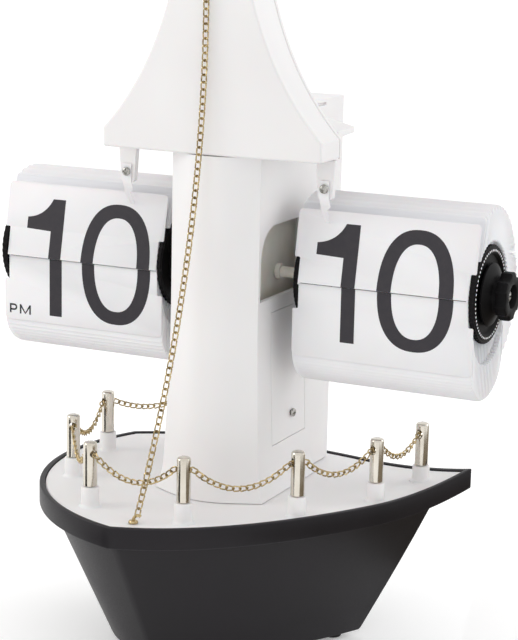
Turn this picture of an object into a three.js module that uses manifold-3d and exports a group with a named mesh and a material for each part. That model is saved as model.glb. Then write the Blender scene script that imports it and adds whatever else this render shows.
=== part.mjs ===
// Sailing-boat flip clock: a hull with a railed deck carries a tower, a sail and two flip-leaf drums.
import * as THREE from "three";
import { mergeVertices } from "three/addons/utils/BufferGeometryUtils.js";
import Module from "manifold-3d";

const wasm = await Module();
wasm.setup();

// Driving dimensions, in millimetres and degrees
const fitGap = 0.3;
const hullTurn = 25;
const hullCentre = new THREE.Vector2(2, -4);

// Hull plan: u runs from the stern to the bow, v across
const sternU = -88;
const bowU = 100;
const transomCornerU = -52.5;
const transomHalf = 73;
const shoulderPull = new THREE.Vector2(-10, 80);
const bowPull = new THREE.Vector2(40, 55);
const footHeight = 2.5;
const hullFloor = 3;
const hullWall = 2.4;
const deckHeight = 71;
const deckThickness = 2.5;
const rimHeight = 8.5;
const rimWidth = 2.4;
const bowRise = 7;
const bowRiseStartU = 55;
const stemTopU = 88;
const keelBowU = 54;
const keelSternU = -57;
const keelHalf = 38;

// Deck rail
const pedestalDiameter = 7.6;
const pedestalHeight = 8.5;
const postDiameter = 5.8;
const postHeight = 18.8;
const postHoleDiameter = 3.6;
const postHoleDrop = 4.4;
const chainDiameter = 2.2;
const railSag = 0.23;
const rearRailSag = 0.12;

// Tower and back panel
const towerHalf = 20.3;
const towerFootFlare = 3;
const towerFlareTop = 152;
const towerFootFillet = 2.2;
const towerFilletHeight = 12;
const towerFrontEdgeY = -30;
const noseRoundShare = 0.57;
const towerRearY = 21;
const towerWall = 2.2;
const panelHalf = 20;
const panelDepth = 26;
const panelRise = 71;
const upperBoxDepth = 33.5;
const upperBoxHeight = 48.5;

// Sail
const sailClearance = 21.5;
const sailCornerHeight = 8;
const sailHeight = 119;
const sailHalf = 50;
const sailHeadHalf = 6;
const sailTaper = 45.7;
const sailFrontY = -36.5;
const sailRidge = 2.5;
const sailDepth = 18;
const sailWall = 2.2;
const shelfRise = 8;
const shelfThickness = 2.7;

// Flip drums
const axleHeight = 164.5;
const axleDiameter = 4.6;
const hingeRadius = 18;
const discRadius = 20.4;
const innerDiscX = 29.3;
const innerDiscThickness = 3.7;
const outerDiscX = 105.4;
const outerDiscThickness = 4.4;
const leafInnerX = 32.3;
const leafOuterX = 108.3;
const leafLength = 31;
const leafThickness = 0.4;
const packLeafThickness = 0.5;
const frontHingeY = -19.6;
const lowerHingeY = -18.6;
const upperLean = 11;
const leafNotch = 11.6;
const packNotch = 15;
const hourLeaves = 24;
const minuteLeaves = 60;
const knobDiameter = 20;
const knobLength = 10;

// Gear train in the tower
const gearModule = 0.8;
const gearThickness = 3;
const gearSlack = 0.25;
const drumTeeth = 36;
const idlerTeeth = 18;
const pinionTeeth = 12;
const carryModule = 0.6;
const hourTeeth = 48;
const carryTeeth = 8;
const motorDiameter = 24;
const motorLength = 11;

// Derived places
const rad = THREE.MathUtils.degToRad;
const hullBottom = footHeight;
const innerNotchX = innerDiscX + innerDiscThickness + fitGap;
const outerNotchX = outerDiscX - fitGap;
const drumEndX = outerDiscX + outerDiscThickness;
const sailBottom = axleHeight + leafLength + sailClearance;
const sailTop = sailBottom + sailHeight;
const shelfHeight = sailBottom + shelfRise;
const panelTop = axleHeight + panelRise;
const towerNose = towerFrontEdgeY - (sailFrontY - sailRidge);

const paint = {
  hull: { color: 0x322f33, roughness: 0.42, metalness: 0 },
  white: { color: 0xeeedeb, roughness: 0.5, metalness: 0 },
  leaf: { color: 0xe9e8e8, roughness: 0.6, metalness: 0 },
  black: { color: 0x2b282b, roughness: 0.55, metalness: 0 },
  chrome: { color: 0xd9d4cb, roughness: 0.12, metalness: 1 },
  gold: { color: 0xa08a52, roughness: 0.3, metalness: 1 },
  steel: { color: 0xb4b2ae, roughness: 0.3, metalness: 1 },
  nylon: { color: 0xe4dfd0, roughness: 0.5, metalness: 0 },
  rubber: { color: 0x1c1c1c, roughness: 0.9, metalness: 0 },
  cell: { color: 0x8a8f94, roughness: 0.4, metalness: 0.6 },
};

const clock = new THREE.Group();
const hull = new THREE.Group();
hull.rotation.z = rad(hullTurn);
hull.position.set(hullCentre.x, hullCentre.y, 0);
clock.add(hull);

// Solid helpers
function solidOf(geometry) {
  const bare = geometry.clone();
  bare.deleteAttribute("normal");
  bare.deleteAttribute("uv");
  const merged = mergeVertices(bare, 1e-4);
  const mesh = new wasm.Mesh({
    numProp: 3,
    vertProperties: new Float32Array(merged.attributes.position.array),
    triVerts: new Uint32Array(merged.index.array),
  });
  return new wasm.Manifold(mesh);
}

function geometryOf(solid) {
  const mesh = solid.getMesh();
  const geometry = new THREE.BufferGeometry();
  geometry.setAttribute("position", new THREE.BufferAttribute(mesh.vertProperties, 3));
  geometry.setIndex(new THREE.BufferAttribute(mesh.triVerts, 1));
  geometry.computeVertexNormals();
  return geometry;
}

function join(first, ...others) {
  return geometryOf(others.reduce((sum, other) => sum.add(solidOf(other)), solidOf(first)));
}

function cut(first, ...others) {
  return geometryOf(others.reduce((rest, other) => rest.subtract(solidOf(other)), solidOf(first)));
}

function common(first, second) {
  return geometryOf(solidOf(first).intersect(solidOf(second)));
}

function add(name, geometry, look, parent = clock) {
  const mesh = new THREE.Mesh(geometry, new THREE.MeshStandardMaterial(paint[look]));
  mesh.name = name;
  parent.add(mesh);
  return mesh;
}

function box(x0, x1, y0, y1, z0, z1) {
  return new THREE.BoxGeometry(x1 - x0, y1 - y0, z1 - z0)
    .translate((x0 + x1) / 2, (y0 + y1) / 2, (z0 + z1) / 2);
}

function rodX(radius, x0, x1, y, z, sides = 24) {
  return new THREE.CylinderGeometry(radius, radius, x1 - x0, sides)
    .rotateZ(Math.PI / 2)
    .translate((x0 + x1) / 2, y, z);
}

function rodY(radius, y0, y1, x, z, sides = 16) {
  return new THREE.CylinderGeometry(radius, radius, y1 - y0, sides).translate(x, (y0 + y1) / 2, z);
}

function rodZ(radius, z0, z1, x, y, sides = 24) {
  return new THREE.CylinderGeometry(radius, radius, z1 - z0, sides)
    .rotateX(Math.PI / 2)
    .translate(x, y, (z0 + z1) / 2);
}

// Extrudes an outline drawn in Y and Z along X
function slabX(points, x0, x1) {
  const shape = new THREE.Shape(points.map(([y, z]) => new THREE.Vector2(y, z)));
  return new THREE.ExtrudeGeometry(shape, { depth: x1 - x0, bevelEnabled: false })
    .applyMatrix4(new THREE.Matrix4().set(0, 0, 1, x0, 1, 0, 0, 0, 0, 1, 0, 0, 0, 0, 0, 1));
}

// Extrudes an outline drawn in X and Z along Y
function slabY(points, y0, y1) {
  const shape = new THREE.Shape(points.map(([x, z]) => new THREE.Vector2(x, -z)));
  return new THREE.ExtrudeGeometry(shape, { depth: y1 - y0, bevelEnabled: false })
    .rotateX(-Math.PI / 2)
    .translate(0, y0, 0);
}

function slabZ(points, z0, z1) {
  const shape = new THREE.Shape(points.map(([x, y]) => new THREE.Vector2(x, y)));
  return new THREE.ExtrudeGeometry(shape, { depth: z1 - z0, bevelEnabled: false }).translate(0, 0, z0);
}

// Caps for a ring whose point i mirrors its point count - i
function mirroredCaps(count) {
  const caps = [];
  for (let i = 0; i < count / 2; i += 1) {
    const far = (count - i) % count;
    if (i > 0) {
      caps.push([i, i + 1, far]);
    }
    if (i + 1 < count / 2) {
      caps.push([i + 1, count - i - 1, far]);
    }
  }
  return caps;
}

// Joins closed rings of equal length, from bottom to top, and caps both ends
function loft(rings, mirrored = false) {
  const count = rings[0].length;
  const positions = rings.flat().flatMap((p) => [p.x, p.y, p.z]);
  const index = [];
  for (let r = 0; r < rings.length - 1; r += 1) {
    for (let i = 0; i < count; i += 1) {
      const a = r * count + i;
      const b = r * count + ((i + 1) % count);
      index.push(a, b, b + count, a, b + count, a + count);
    }
  }
  const flat = rings[0].map((p) => new THREE.Vector2(p.x, p.y));
  const caps = mirrored ? mirroredCaps(count) : THREE.ShapeUtils.triangulateShape(flat, []);
  const top = (rings.length - 1) * count;
  for (const [a, b, c] of caps) {
    index.push(c, b, a, top + a, top + b, top + c);
  }
  const geometry = new THREE.BufferGeometry();
  geometry.setAttribute("position", new THREE.Float32BufferAttribute(positions, 3));
  geometry.setIndex(index);
  return geometry;
}

function tube(curve, diameter, steps, sides) {
  const corners = [...Array(sides).keys()].map((i) => {
    const angle = (2 * Math.PI * i) / sides;
    return new THREE.Vector2(Math.cos(angle), Math.sin(angle)).multiplyScalar(diameter / 2);
  });
  return new THREE.ExtrudeGeometry(new THREE.Shape(corners), { steps, extrudePath: curve });
}

// Hull plan from the middle of the transom along the near side to the bow, and back along the far side
function nearSide() {
  const sagitta = transomCornerU - sternU;
  const radius = (transomHalf * transomHalf + sagitta * sagitta) / (2 * sagitta);
  const reach = Math.asin(transomHalf / radius);
  const transom = [...Array(7).keys()].map((i) => {
    const angle = (reach * i) / 7;
    return new THREE.Vector2(sternU + radius * (1 - Math.cos(angle)), -radius * Math.sin(angle));
  });
  const side = new THREE.CubicBezierCurve(
    new THREE.Vector2(transomCornerU, -transomHalf),
    new THREE.Vector2(shoulderPull.x, -shoulderPull.y),
    new THREE.Vector2(bowPull.x, -bowPull.y),
    new THREE.Vector2(bowU, 0),
  );
  return [...transom, ...side.getPoints(14)];
}

function hullOutline() {
  const side = nearSide();
  const far = side.slice(1, -1).map((p) => new THREE.Vector2(p.x, -p.y)).reverse();
  return [...side, ...far];
}

// Moves each edge of a counter-clockwise outline inward by the same distance
function inset(points, distance) {
  return points.map((p, i) => {
    const before = points[(i + points.length - 1) % points.length];
    const after = points[(i + 1) % points.length];
    const inwardA = new THREE.Vector2(before.y - p.y, p.x - before.x).normalize();
    const inwardB = new THREE.Vector2(p.y - after.y, after.x - p.x).normalize();
    const middle = inwardA.clone().add(inwardB).normalize();
    return p.clone().addScaledVector(middle, distance / middle.dot(inwardA));
  });
}

const plan = hullOutline();

function sheer(u) {
  const run = Math.max(0, (u - bowRiseStartU) / (bowU - bowRiseStartU));
  return deckHeight + bowRise * run * run;
}

function ringAt(points, height) {
  return points.map((p) => new THREE.Vector3(p.x, p.y, height(p.x)));
}

// The flat bottom has the deck's form at its own length and beam
function keelOutline(shrink) {
  const stern = keelSternU + shrink;
  const lengthRatio = (keelBowU - shrink - stern) / (bowU - sternU);
  const beamRatio = (keelHalf - shrink) / transomHalf;
  return plan.map((p) => new THREE.Vector2(stern + (p.x - sternU) * lengthRatio, p.y * beamRatio));
}

// The hull's top edge follows the rim, but its bow stops short under the rim's overhang
function hullTopOutline(shrink) {
  const edge = inset(plan, rimWidth + fitGap + shrink);
  const tip = Math.max(...edge.map((p) => p.x));
  const squeeze = (stemTopU - shrink) / tip;
  return edge.map((p) => new THREE.Vector2(p.x > 0 ? p.x * squeeze : p.x, p.y));
}

// A closed wall between two outlines, its top and bottom following the sheer
function sheerBand(outer, inner, below, above) {
  const rings = [[outer, -below], [outer, above], [inner, above], [inner, -below]];
  const count = outer.length;
  const positions = rings.flatMap(([points, lift]) => (
    points.flatMap((p) => [p.x, p.y, sheer(p.x) + lift])
  ));
  const index = [];
  rings.forEach((ring, r) => {
    const start = r * count;
    const next = ((r + 1) % rings.length) * count;
    for (let i = 0; i < count; i += 1) {
      const j = (i + 1) % count;
      index.push(start + i, start + j, next + j, start + i, next + j, next + i);
    }
  });
  const geometry = new THREE.BufferGeometry();
  geometry.setAttribute("position", new THREE.Float32BufferAttribute(positions, 3));
  geometry.setIndex(index);
  return geometry;
}

function addHull() {
  const topGap = deckThickness + fitGap;
  const outer = loft([
    ringAt(keelOutline(0), () => hullBottom),
    ringAt(hullTopOutline(0), (u) => sheer(u) - topGap),
  ], true);
  const inner = loft([
    ringAt(keelOutline(hullWall + 1), () => hullBottom + hullFloor),
    ringAt(hullTopOutline(hullWall), (u) => sheer(u) + 1),
  ], true);
  const doorway = box(bayU - doorLength / 2, bayU + doorLength / 2, -doorWidth / 2, doorWidth / 2, 0,
    hullBottom + hullFloor + 1);
  add("hull_shell", cut(outer, inner, doorway), "hull", hull);

  const band = sheerBand(plan, inset(plan, rimWidth), rimHeight, 0.6);
  const seatRing = sheerBand(inset(plan, rimWidth / 2), hullTopOutline(-fitGap), rimHeight - 1, -topGap);
  add("rim_band", join(band, seatRing), "hull", hull);
}

// Battery bay in the hull floor
const cellDiameter = 34.2;
const cellLength = 61.5;
const doorLength = 68;
const doorWidth = 40;
const bayU = -13;
const bay = new THREE.Group();
bay.position.x = bayU;
hull.add(bay);

function addBatteryBay() {
  const door = box(
    -doorLength / 2 + fitGap, doorLength / 2 - fitGap,
    -doorWidth / 2 + fitGap, doorWidth / 2 - fitGap,
    hullBottom, hullBottom + hullFloor - 0.4,
  );
  const grip = rodY(1.2, -6, 6, -doorLength / 2 + 8, hullBottom - 0.2, 12);
  add("battery_door", cut(door, grip), "hull", bay);

  const cellBottom = hullBottom + hullFloor;
  const cellZ = cellBottom + fitGap + cellDiameter / 2;
  const nub = rodX(4.75, cellLength / 2 - 2, cellLength / 2, 0, cellZ, 16);
  const body = rodX(cellDiameter / 2, -cellLength / 2, cellLength / 2 - 1.5, 0, cellZ, 28);
  add("battery", join(body, nub), "cell", bay);

  for (const [name, side] of [["contact_positive", 1], ["contact_negative", -1]]) {
    const near = side * (cellLength / 2 + fitGap);
    const far = near + side * 0.8;
    const footEnd = side * (doorLength / 2 + 5);
    const floor = cellBottom + fitGap;
    const blade = box(Math.min(near, far), Math.max(near, far), -6, 6, floor, cellZ + 9);
    const foot = box(Math.min(near, footEnd), Math.max(near, footEnd), -6, 6, floor, floor + 0.8);
    add(name, join(blade, foot), "steel", bay);
  }

  const footPlaces = [["stern_far", -36, 27], ["stern_near", -36, -27], ["mid_far", 9, 25],
    ["mid_near", 9, -25], ["bow", 41.5, 0]];
  for (const [place, u, v] of footPlaces) {
    add(`foot_${place}`, rodZ(4, 0, footHeight - fitGap, u, v, 16), "rubber", hull);
  }
}

// Rail posts, from the bow round the near side and the stern to the far quarter
const bowPost = new THREE.Vector2(78, 0);
const forePost = new THREE.Vector2(57, 27);
const midPost = new THREE.Vector2(23.6, 49.4);
const aftPost = new THREE.Vector2(-22.7, 62);
const quarterPost = new THREE.Vector2(-62.4, 42.6);
const sternPost = new THREE.Vector2(-73.8, 0);
const near = (p) => new THREE.Vector2(p.x, -p.y);
const posts = [
  ["post_bow", bowPost],
  ["post_fore", near(forePost)],
  ["post_mid", near(midPost)],
  ["post_aft", near(aftPost)],
  ["post_quarter", near(quarterPost)],
  ["post_stern", sternPost],
  ["post_far_quarter", quarterPost],
  ["post_far_aft", aftPost],
];

const postBase = deckHeight + pedestalHeight;

function holeCentre(p) {
  return new THREE.Vector3(p.x, p.y, postBase + postHeight - postHoleDrop);
}

// Direction in which the chain runs through a post's hole
function railDirection(i) {
  const before = posts[Math.max(0, i - 1)][1];
  const after = posts[Math.min(posts.length - 1, i + 1)][1];
  return after.clone().sub(before).normalize();
}

function addDeck() {
  const outline = inset(plan, rimWidth + fitGap);
  const deck = loft([
    ringAt(outline, (u) => sheer(u) - deckThickness),
    ringAt(outline, (u) => sheer(u)),
  ], true);
  const pedestals = posts.map(([, p]) => (
    rodZ(pedestalDiameter / 2, sheer(p.x) - 1, postBase, p.x, p.y, 14)
  ));
  add("deck", join(deck, ...pedestals), "white", hull);
}

function addPosts() {
  posts.forEach(([name, p], i) => {
    const base = postBase + fitGap;
    const half = postDiameter / 2;
    const profile = [
      new THREE.Vector2(0, base),
      new THREE.Vector2(half, base),
      new THREE.Vector2(half, base + postHeight - 0.8),
      new THREE.Vector2(half - 0.8, base + postHeight),
      new THREE.Vector2(0, base + postHeight),
    ];
    const post = new THREE.LatheGeometry(profile, 14).rotateX(Math.PI / 2).translate(p.x, p.y, 0);
    const direction = railDirection(i);
    const hole = new THREE.CylinderGeometry(postHoleDiameter / 2, postHoleDiameter / 2, 12, 10)
      .rotateZ(Math.PI / 2)
      .rotateZ(Math.atan2(direction.y, direction.x))
      .translate(...holeCentre(p).toArray());
    add(name, cut(post, hole), "chrome", hull);
  });
}

function railRoute() {
  const route = [];
  posts.forEach(([, p], i) => {
    const direction = railDirection(i);
    const reach = new THREE.Vector3(direction.x, direction.y, 0).multiplyScalar(postDiameter / 2 + 0.6);
    const centre = holeCentre(p);
    const leave = centre.clone().add(reach);
    if (i > 0) {
      route.push(centre.clone().sub(reach));
    }
    route.push(centre);
    if (i === posts.length - 1) {
      return;
    }
    route.push(leave);
    const next = holeCentre(posts[i + 1][1]);
    const nextDirection = railDirection(i + 1);
    const arrive = next.clone().sub(
      new THREE.Vector3(nextDirection.x, nextDirection.y, 0).multiplyScalar(postDiameter / 2 + 0.6),
    );
    const sag = (i === posts.length - 2 ? rearRailSag : railSag) * leave.distanceTo(arrive);
    for (const t of [0.12, 0.3, 0.5, 0.7, 0.88]) {
      const point = leave.clone().lerp(arrive, t);
      point.z -= 4 * sag * t * (1 - t);
      route.push(point);
    }
  });
  return new THREE.CatmullRomCurve3(route, false, "centripetal");
}

function addRailChain() {
  add("rail_chain", tube(railRoute(), chainDiameter, 92, 6), "gold", hull);
}

// How far the nose stands forward at a share of the half width: flat flanks and a rounded tip
function noseDepth(share) {
  const slope = towerNose / (1 - noseRoundShare / 2);
  const flank = slope * (1 - Math.max(share, noseRoundShare));
  const tip = share < noseRoundShare ? (slope * (noseRoundShare ** 2 - share ** 2)) / (2 * noseRoundShare) : 0;
  return flank + tip;
}

// Tower plan at one height: a nosed front, flat sides and a flat back
function towerRing(half, frontEdge, rear, z) {
  const front = [...Array(15).keys()].map((i) => {
    const t = i / 7 - 1;
    return new THREE.Vector3(half * t, frontEdge - noseDepth(Math.abs(t)), z);
  });
  return [...front, new THREE.Vector3(half, rear, z), new THREE.Vector3(-half, rear, z)];
}

// The tower widens slowly towards the deck and ends in a small fillet
function towerFlare(z) {
  const t = Math.max(0, (towerFlareTop - z) / (towerFlareTop - deckHeight));
  const fillet = Math.max(0, 1 - (z - deckHeight) / towerFilletHeight);
  return towerFootFlare * t ** 1.6 + towerFootFillet * fillet ** 2;
}

function towerShape(wall, z0, z1) {
  const filleted = [0, 0.2, 0.45, 1].map((share) => z0 + towerFilletHeight * share);
  const flareStart = z0 + towerFilletHeight;
  const flared = [...Array(5).keys()].map((i) => flareStart + ((towerFlareTop - flareStart) * (i + 1)) / 5);
  const levels = [...filleted, ...flared, z1];
  return loft(levels.map((z) => {
    const half = towerHalf + towerFlare(z) - wall;
    const front = towerFrontEdgeY - towerFlare(z) * 0.5 + wall;
    return towerRing(half, front, towerRearY - wall, z);
  }));
}

const coverFrontY = -17;
const coverRearY = 17;
const coverBottom = deckHeight + 21;
const coverTop = axleHeight - 14.5;
const windowBottom = axleHeight - 8.5;
const windowTop = axleHeight + 22.5;
const windowFrontY = towerFrontEdgeY + 2;
const windowRearY = towerRearY - 6;
const windowCorner = 14;

function windowCutter() {
  const arch = [...Array(7).keys()].map((i) => {
    const angle = (Math.PI / 2) * (1 - i / 6);
    return [windowFrontY + windowCorner - windowCorner * Math.cos(angle),
      windowTop - windowCorner + windowCorner * Math.sin(angle)];
  });
  const outline = [[windowRearY, windowTop], ...arch, [windowFrontY, windowBottom], [windowRearY, windowBottom]];
  return slabX(outline, -2 * towerHalf, 2 * towerHalf);
}

function addTower() {
  const bottom = deckHeight + fitGap;
  const top = sailBottom - fitGap;
  const shell = cut(towerShape(0, bottom, top), towerShape(towerWall, bottom - 1, top + 1), windowCutter());
  const inside = towerHalf - towerWall - 3;
  const outside = towerHalf + 4 * towerFootFlare;
  const opening = box(inside, outside, coverFrontY, coverRearY, coverBottom, coverTop);
  const tower = cut(shell, opening);
  add("tower_shell", tower, "white");
  const cover = box(inside, outside, coverFrontY + fitGap, coverRearY - fitGap, coverBottom + fitGap,
    coverTop - fitGap);
  const screwHole = rodX(1.3, 0, outside, coverScrewY, coverScrewZ, 12);
  add("side_cover", cut(common(shell, cover), screwHole), "white");
  addCoverScrew();
}

const coverScrewY = 3;
const coverScrewZ = coverBottom + 10.5;

function mirrorX(geometry) {
  const copy = geometryOf(solidOf(geometry)).scale(-1, 1, 1);
  const order = copy.index.array;
  for (let i = 0; i < order.length; i += 3) {
    [order[i], order[i + 1]] = [order[i + 1], order[i]];
  }
  copy.computeVertexNormals();
  return copy;
}

function addCoverScrew() {
  const face = towerHalf + towerFlare(coverScrewZ) + 0.7;
  const head = rodX(1.9, face, face + 1.2, coverScrewY, coverScrewZ, 16);
  const shank = rodX(1.0, face - 5, face + 0.5, coverScrewY, coverScrewZ, 12);
  add("cover_screw", join(head, shank), "steel");
}

function addBackPanel() {
  const front = towerRearY + fitGap;
  const rear = front + panelDepth;
  const bottom = deckHeight + fitGap;
  const panel = box(-panelHalf, panelHalf, front, rear, bottom, panelTop);
  const upper = box(-panelHalf, panelHalf, rear - 1, front + upperBoxDepth, panelTop - upperBoxHeight, panelTop);
  const slot = box(panelHalf - 1.5, panelHalf + 1, front + 4, front + 14, panelTop - 3, panelTop - 1.8);
  const vents = [...Array(5).keys()].map((i) => {
    const z = deckHeight + 49 + i * 7;
    return box(-12, 12, rear - 3, rear + 1, z, z + 2.4);
  });
  add("back_column", join(cut(panel, slot, ...vents), cut(upper, slot)), "white");
}

// Half width of the sail at a height
function sailEdge(z, margin) {
  const corner = sailBottom + sailCornerHeight;
  const rise = Math.max(0, z - corner);
  return sailHeadHalf + (sailHalf - sailHeadHalf) * Math.exp(-rise / sailTaper) - margin;
}

function sailOutline(margin) {
  const corner = sailBottom + sailCornerHeight;
  const levels = [...Array(13).keys()].map((i) => corner + ((sailTop - margin - corner) * i) / 12);
  const right = levels.map((z) => [sailEdge(z, margin), z]);
  const left = levels.map((z) => [-sailEdge(z, margin), z]).reverse();
  return [[-sailHalf + margin, sailBottom + margin], [sailHalf - margin, sailBottom + margin],
    ...right, ...left];
}

// Wedge that gives the sail its shallow ridge down the middle
function ridgeWedge(offset) {
  const side = sailHalf + 10;
  const front = sailFrontY + offset;
  const rear = sailFrontY + sailDepth + 20;
  return slabZ([[-side, front], [0, front - sailRidge], [side, front], [side, rear], [-side, rear]],
    sailBottom - 10, sailTop + 10);
}

function addSail() {
  const backY = sailFrontY + sailDepth;
  const outer = common(slabY(sailOutline(0), sailFrontY - 10, backY), ridgeWedge(0));
  const inner = common(slabY(sailOutline(sailWall), sailFrontY - 10, backY + 1), ridgeWedge(sailWall));
  add("sail_shell", cut(outer, inner), "white");
  const back = slabY(sailOutline(0), backY + fitGap, backY + fitGap + sailWall);
  add("sail_back", back, "white");

  const shelfFront = backY + sailWall + 2 * fitGap;
  const tail = towerRearY + 5;
  const side = panelHalf + fitGap;
  const shelf = slabZ([[-48, shelfFront], [48, shelfFront], [45, 8], [28, tail], [side, tail],
    [side, towerRearY], [-side, towerRearY], [-side, tail], [-28, tail], [-45, 8]],
  shelfHeight, shelfHeight + shelfThickness);
  const post = box(-16, 16, shelfFront, towerRearY, sailBottom, shelfHeight + 1);
  add("sail_shelf", join(shelf, post), "white");
}

// Brackets under the sail that carry the leaf retaining strips
const bracketX = 45.8;
const bracketFrontY = -22.9;
const bracketBottom = sailBottom - 16.5;
const stripScrewZ = bracketBottom + 4.7;
const stripTouch = 25.5;
const stripWidth = 4.2;

function addBrackets() {
  for (const [side, name] of [[-1, "hour"], [1, "minute"]]) {
    const x = side * bracketX;
    const tab = slabY([[x - 3.3, bracketBottom], [x + 3.3, bracketBottom], [x + 4.3, sailBottom - fitGap],
      [x - 4.3, sailBottom - fitGap]], bracketFrontY, bracketFrontY + 3);
    const hole = rodY(1.1, bracketFrontY - 5, bracketFrontY + 5, x, stripScrewZ, 12);
    add(`${name}_bracket`, cut(tab, hole), "white");

    const back = bracketFrontY - fitGap;
    const front = back - 0.4;
    const touchZ = axleHeight + stripTouch;
    const touchY = frontHingeY + stripTouch * Math.tan(rad(upperLean)) - leafThickness / 2 - fitGap;
    const stripTop = stripScrewZ + 3.3;
    const stripBend = bracketBottom - 0.5;
    const strip = slabX([[front, stripTop], [front, stripBend], [touchY - 0.4, touchZ], [touchY, touchZ],
      [back, stripBend], [back, stripTop]], x - stripWidth / 2, x + stripWidth / 2);
    add(`${name}_retaining_strip`, cut(strip, hole), "leaf");

    const head = rodY(1.9, front - fitGap - 1, front - fitGap, x, stripScrewZ, 16);
    const shank = rodY(0.8, front - 0.5, bracketFrontY + 4, x, stripScrewZ, 12);
    add(`${name}_strip_screw`, join(head, shank), "steel");
  }
}

// A flip leaf: full width beyond the notches that clear the end discs
function leafOutline(length, notch, round) {
  const inner = innerNotchX;
  const outer = outerNotchX;
  return [[inner, -0.5], [outer, -0.5], [outer, notch], [leafOuterX, notch], [leafOuterX, length - round],
    [leafOuterX - round, length], [leafInnerX + round, length], [leafInnerX, length - round],
    [leafInnerX, notch], [inner, notch]];
}

// Stands a leaf up at a hinge line; tilt is measured back from straight up
function placedLeaf(thickness, notch, hingeY, hingeZ, tilt) {
  const round = notch === leafNotch ? 2 : 1;
  return slabY(leafOutline(leafLength, notch, round), -thickness / 2, thickness / 2)
    .rotateX(-tilt)
    .translate(0, hingeY, axleHeight + hingeZ);
}

// Waiting leaves lie back over the drum and fallen leaves hang straight down
function leafTilt(angle) {
  return angle >= 0 ? angle + rad(upperLean) * Math.exp(-angle / rad(25)) : Math.PI;
}

function leafPack(count) {
  const step = (2 * Math.PI) / count;
  const inner = innerNotchX;
  const outer = outerNotchX;
  const sleeve = cut(
    rodX(hingeRadius + 0.1, inner, outer, 0, axleHeight, 48),
    rodX(hingeRadius - 1.9, inner - 1, outer + 1, 0, axleHeight, 48),
  );
  const leaves = [...Array(count - 2).keys()].map((i) => {
    const turn = (i + 1.5 - (i + 1.5 > count / 2 ? count : 0)) * step;
    return placedLeaf(packLeafThickness, packNotch, -hingeRadius * Math.cos(turn), hingeRadius * Math.sin(turn),
      leafTilt(turn));
  });
  return join(sleeve, ...leaves);
}

// End disc with one notch for each leaf's pivot
function endDisc(count, x0, x1) {
  const points = [...Array(count).keys()].flatMap((i) => {
    const angle = (2 * Math.PI * i) / count;
    return [[angle, discRadius], [angle + (1.3 * Math.PI) / count, discRadius - 0.8]]
      .map(([a, r]) => [r * Math.cos(a), axleHeight + r * Math.sin(a)]);
  });
  const disc = slabX(points, x0, x1);
  return cut(disc, rodX(axleDiameter / 2 + fitGap, x0 - 1, x1 + 1, 0, axleHeight, 20));
}

function addDrum(name, count, side) {
  const turned = (geometry) => (side > 0 ? geometry : mirrorX(geometry));
  const innerEnd = innerDiscX + innerDiscThickness;
  add(`${name}_inner_disc`, turned(endDisc(count, innerDiscX, innerEnd)), "black");
  add(`${name}_outer_disc`, turned(endDisc(count, outerDiscX, drumEndX)), "black");
  add(`${name}_leaf_pack`, turned(leafPack(count)), "leaf");
  add(`${name}_upper_leaf`, turned(placedLeafGeometry(frontHingeY, rad(upperLean))), "leaf");
  add(`${name}_lower_leaf`, turned(placedLeafGeometry(lowerHingeY, Math.PI)), "leaf");

  const shaftEnd = drumEndX + (side > 0 ? knobLength / 2 : 1.5);
  const shaft = rodX(axleDiameter / 2, 0.2, shaftEnd, 0, axleHeight, 20);
  const collar = rodX(3.5, frameHalf + 0.5, frameHalf + 2.5, 0, axleHeight, 16);
  add(`${name}_axle`, turned(join(shaft, collar)), "nylon");
}

function placedLeafGeometry(hingeY, tilt) {
  return placedLeaf(leafThickness, leafNotch, hingeY, 0, tilt);
}

function addDrums() {
  addDrum("hour", hourLeaves, -1);
  addDrum("minute", minuteLeaves, 1);
  addKnob();
  const flange = cut(
    rodX(12.5, -innerDiscX + fitGap, -innerDiscX + 2.3, 0, axleHeight, 28),
    rodX(axleDiameter / 2 + fitGap, -innerDiscX - 1, 0, 0, axleHeight, 20),
  );
  add("hour_flange", flange, "black");
}

// Setting knob: a coned hub, a barrel and a fluted head with a recessed face
function addKnob() {
  const start = drumEndX + fitGap;
  const end = start + knobLength;
  const half = knobDiameter / 2;
  const profile = [
    new THREE.Vector2(axleDiameter / 2 + fitGap, start),
    new THREE.Vector2(13, start),
    new THREE.Vector2(13, start + 1),
    new THREE.Vector2(8, start + 3.5),
    new THREE.Vector2(8, start + 5),
    new THREE.Vector2(half - 0.6, start + 5),
    new THREE.Vector2(half, start + 5.6),
    new THREE.Vector2(half, end - 0.8),
    new THREE.Vector2(half - 0.8, end),
    new THREE.Vector2(5, end),
    new THREE.Vector2(4.4, end - 3),
    new THREE.Vector2(axleDiameter / 2 + fitGap, end - 3),
    new THREE.Vector2(axleDiameter / 2 + fitGap, start),
  ];
  const turned = new THREE.LatheGeometry(profile, 24)
    .rotateZ(-Math.PI / 2)
    .translate(0, 0, axleHeight);
  const flutes = [...Array(6).keys()].map((i) => {
    const angle = (Math.PI * i) / 3;
    const reach = half + 2.6;
    return rodX(4, start + 5.2, end + 1, reach * Math.cos(angle), axleHeight + reach * Math.sin(angle), 12);
  });
  add("setting_knob", cut(turned, ...flutes), "black");
  const head = rodX(2.6, end - 2.6, end - 1.2, 0, axleHeight, 16);
  const slot = box(end - 1.8, end, -3, 3, axleHeight - 0.4, axleHeight + 0.4);
  add("knob_screw", cut(head, slot), "steel");
}

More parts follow.
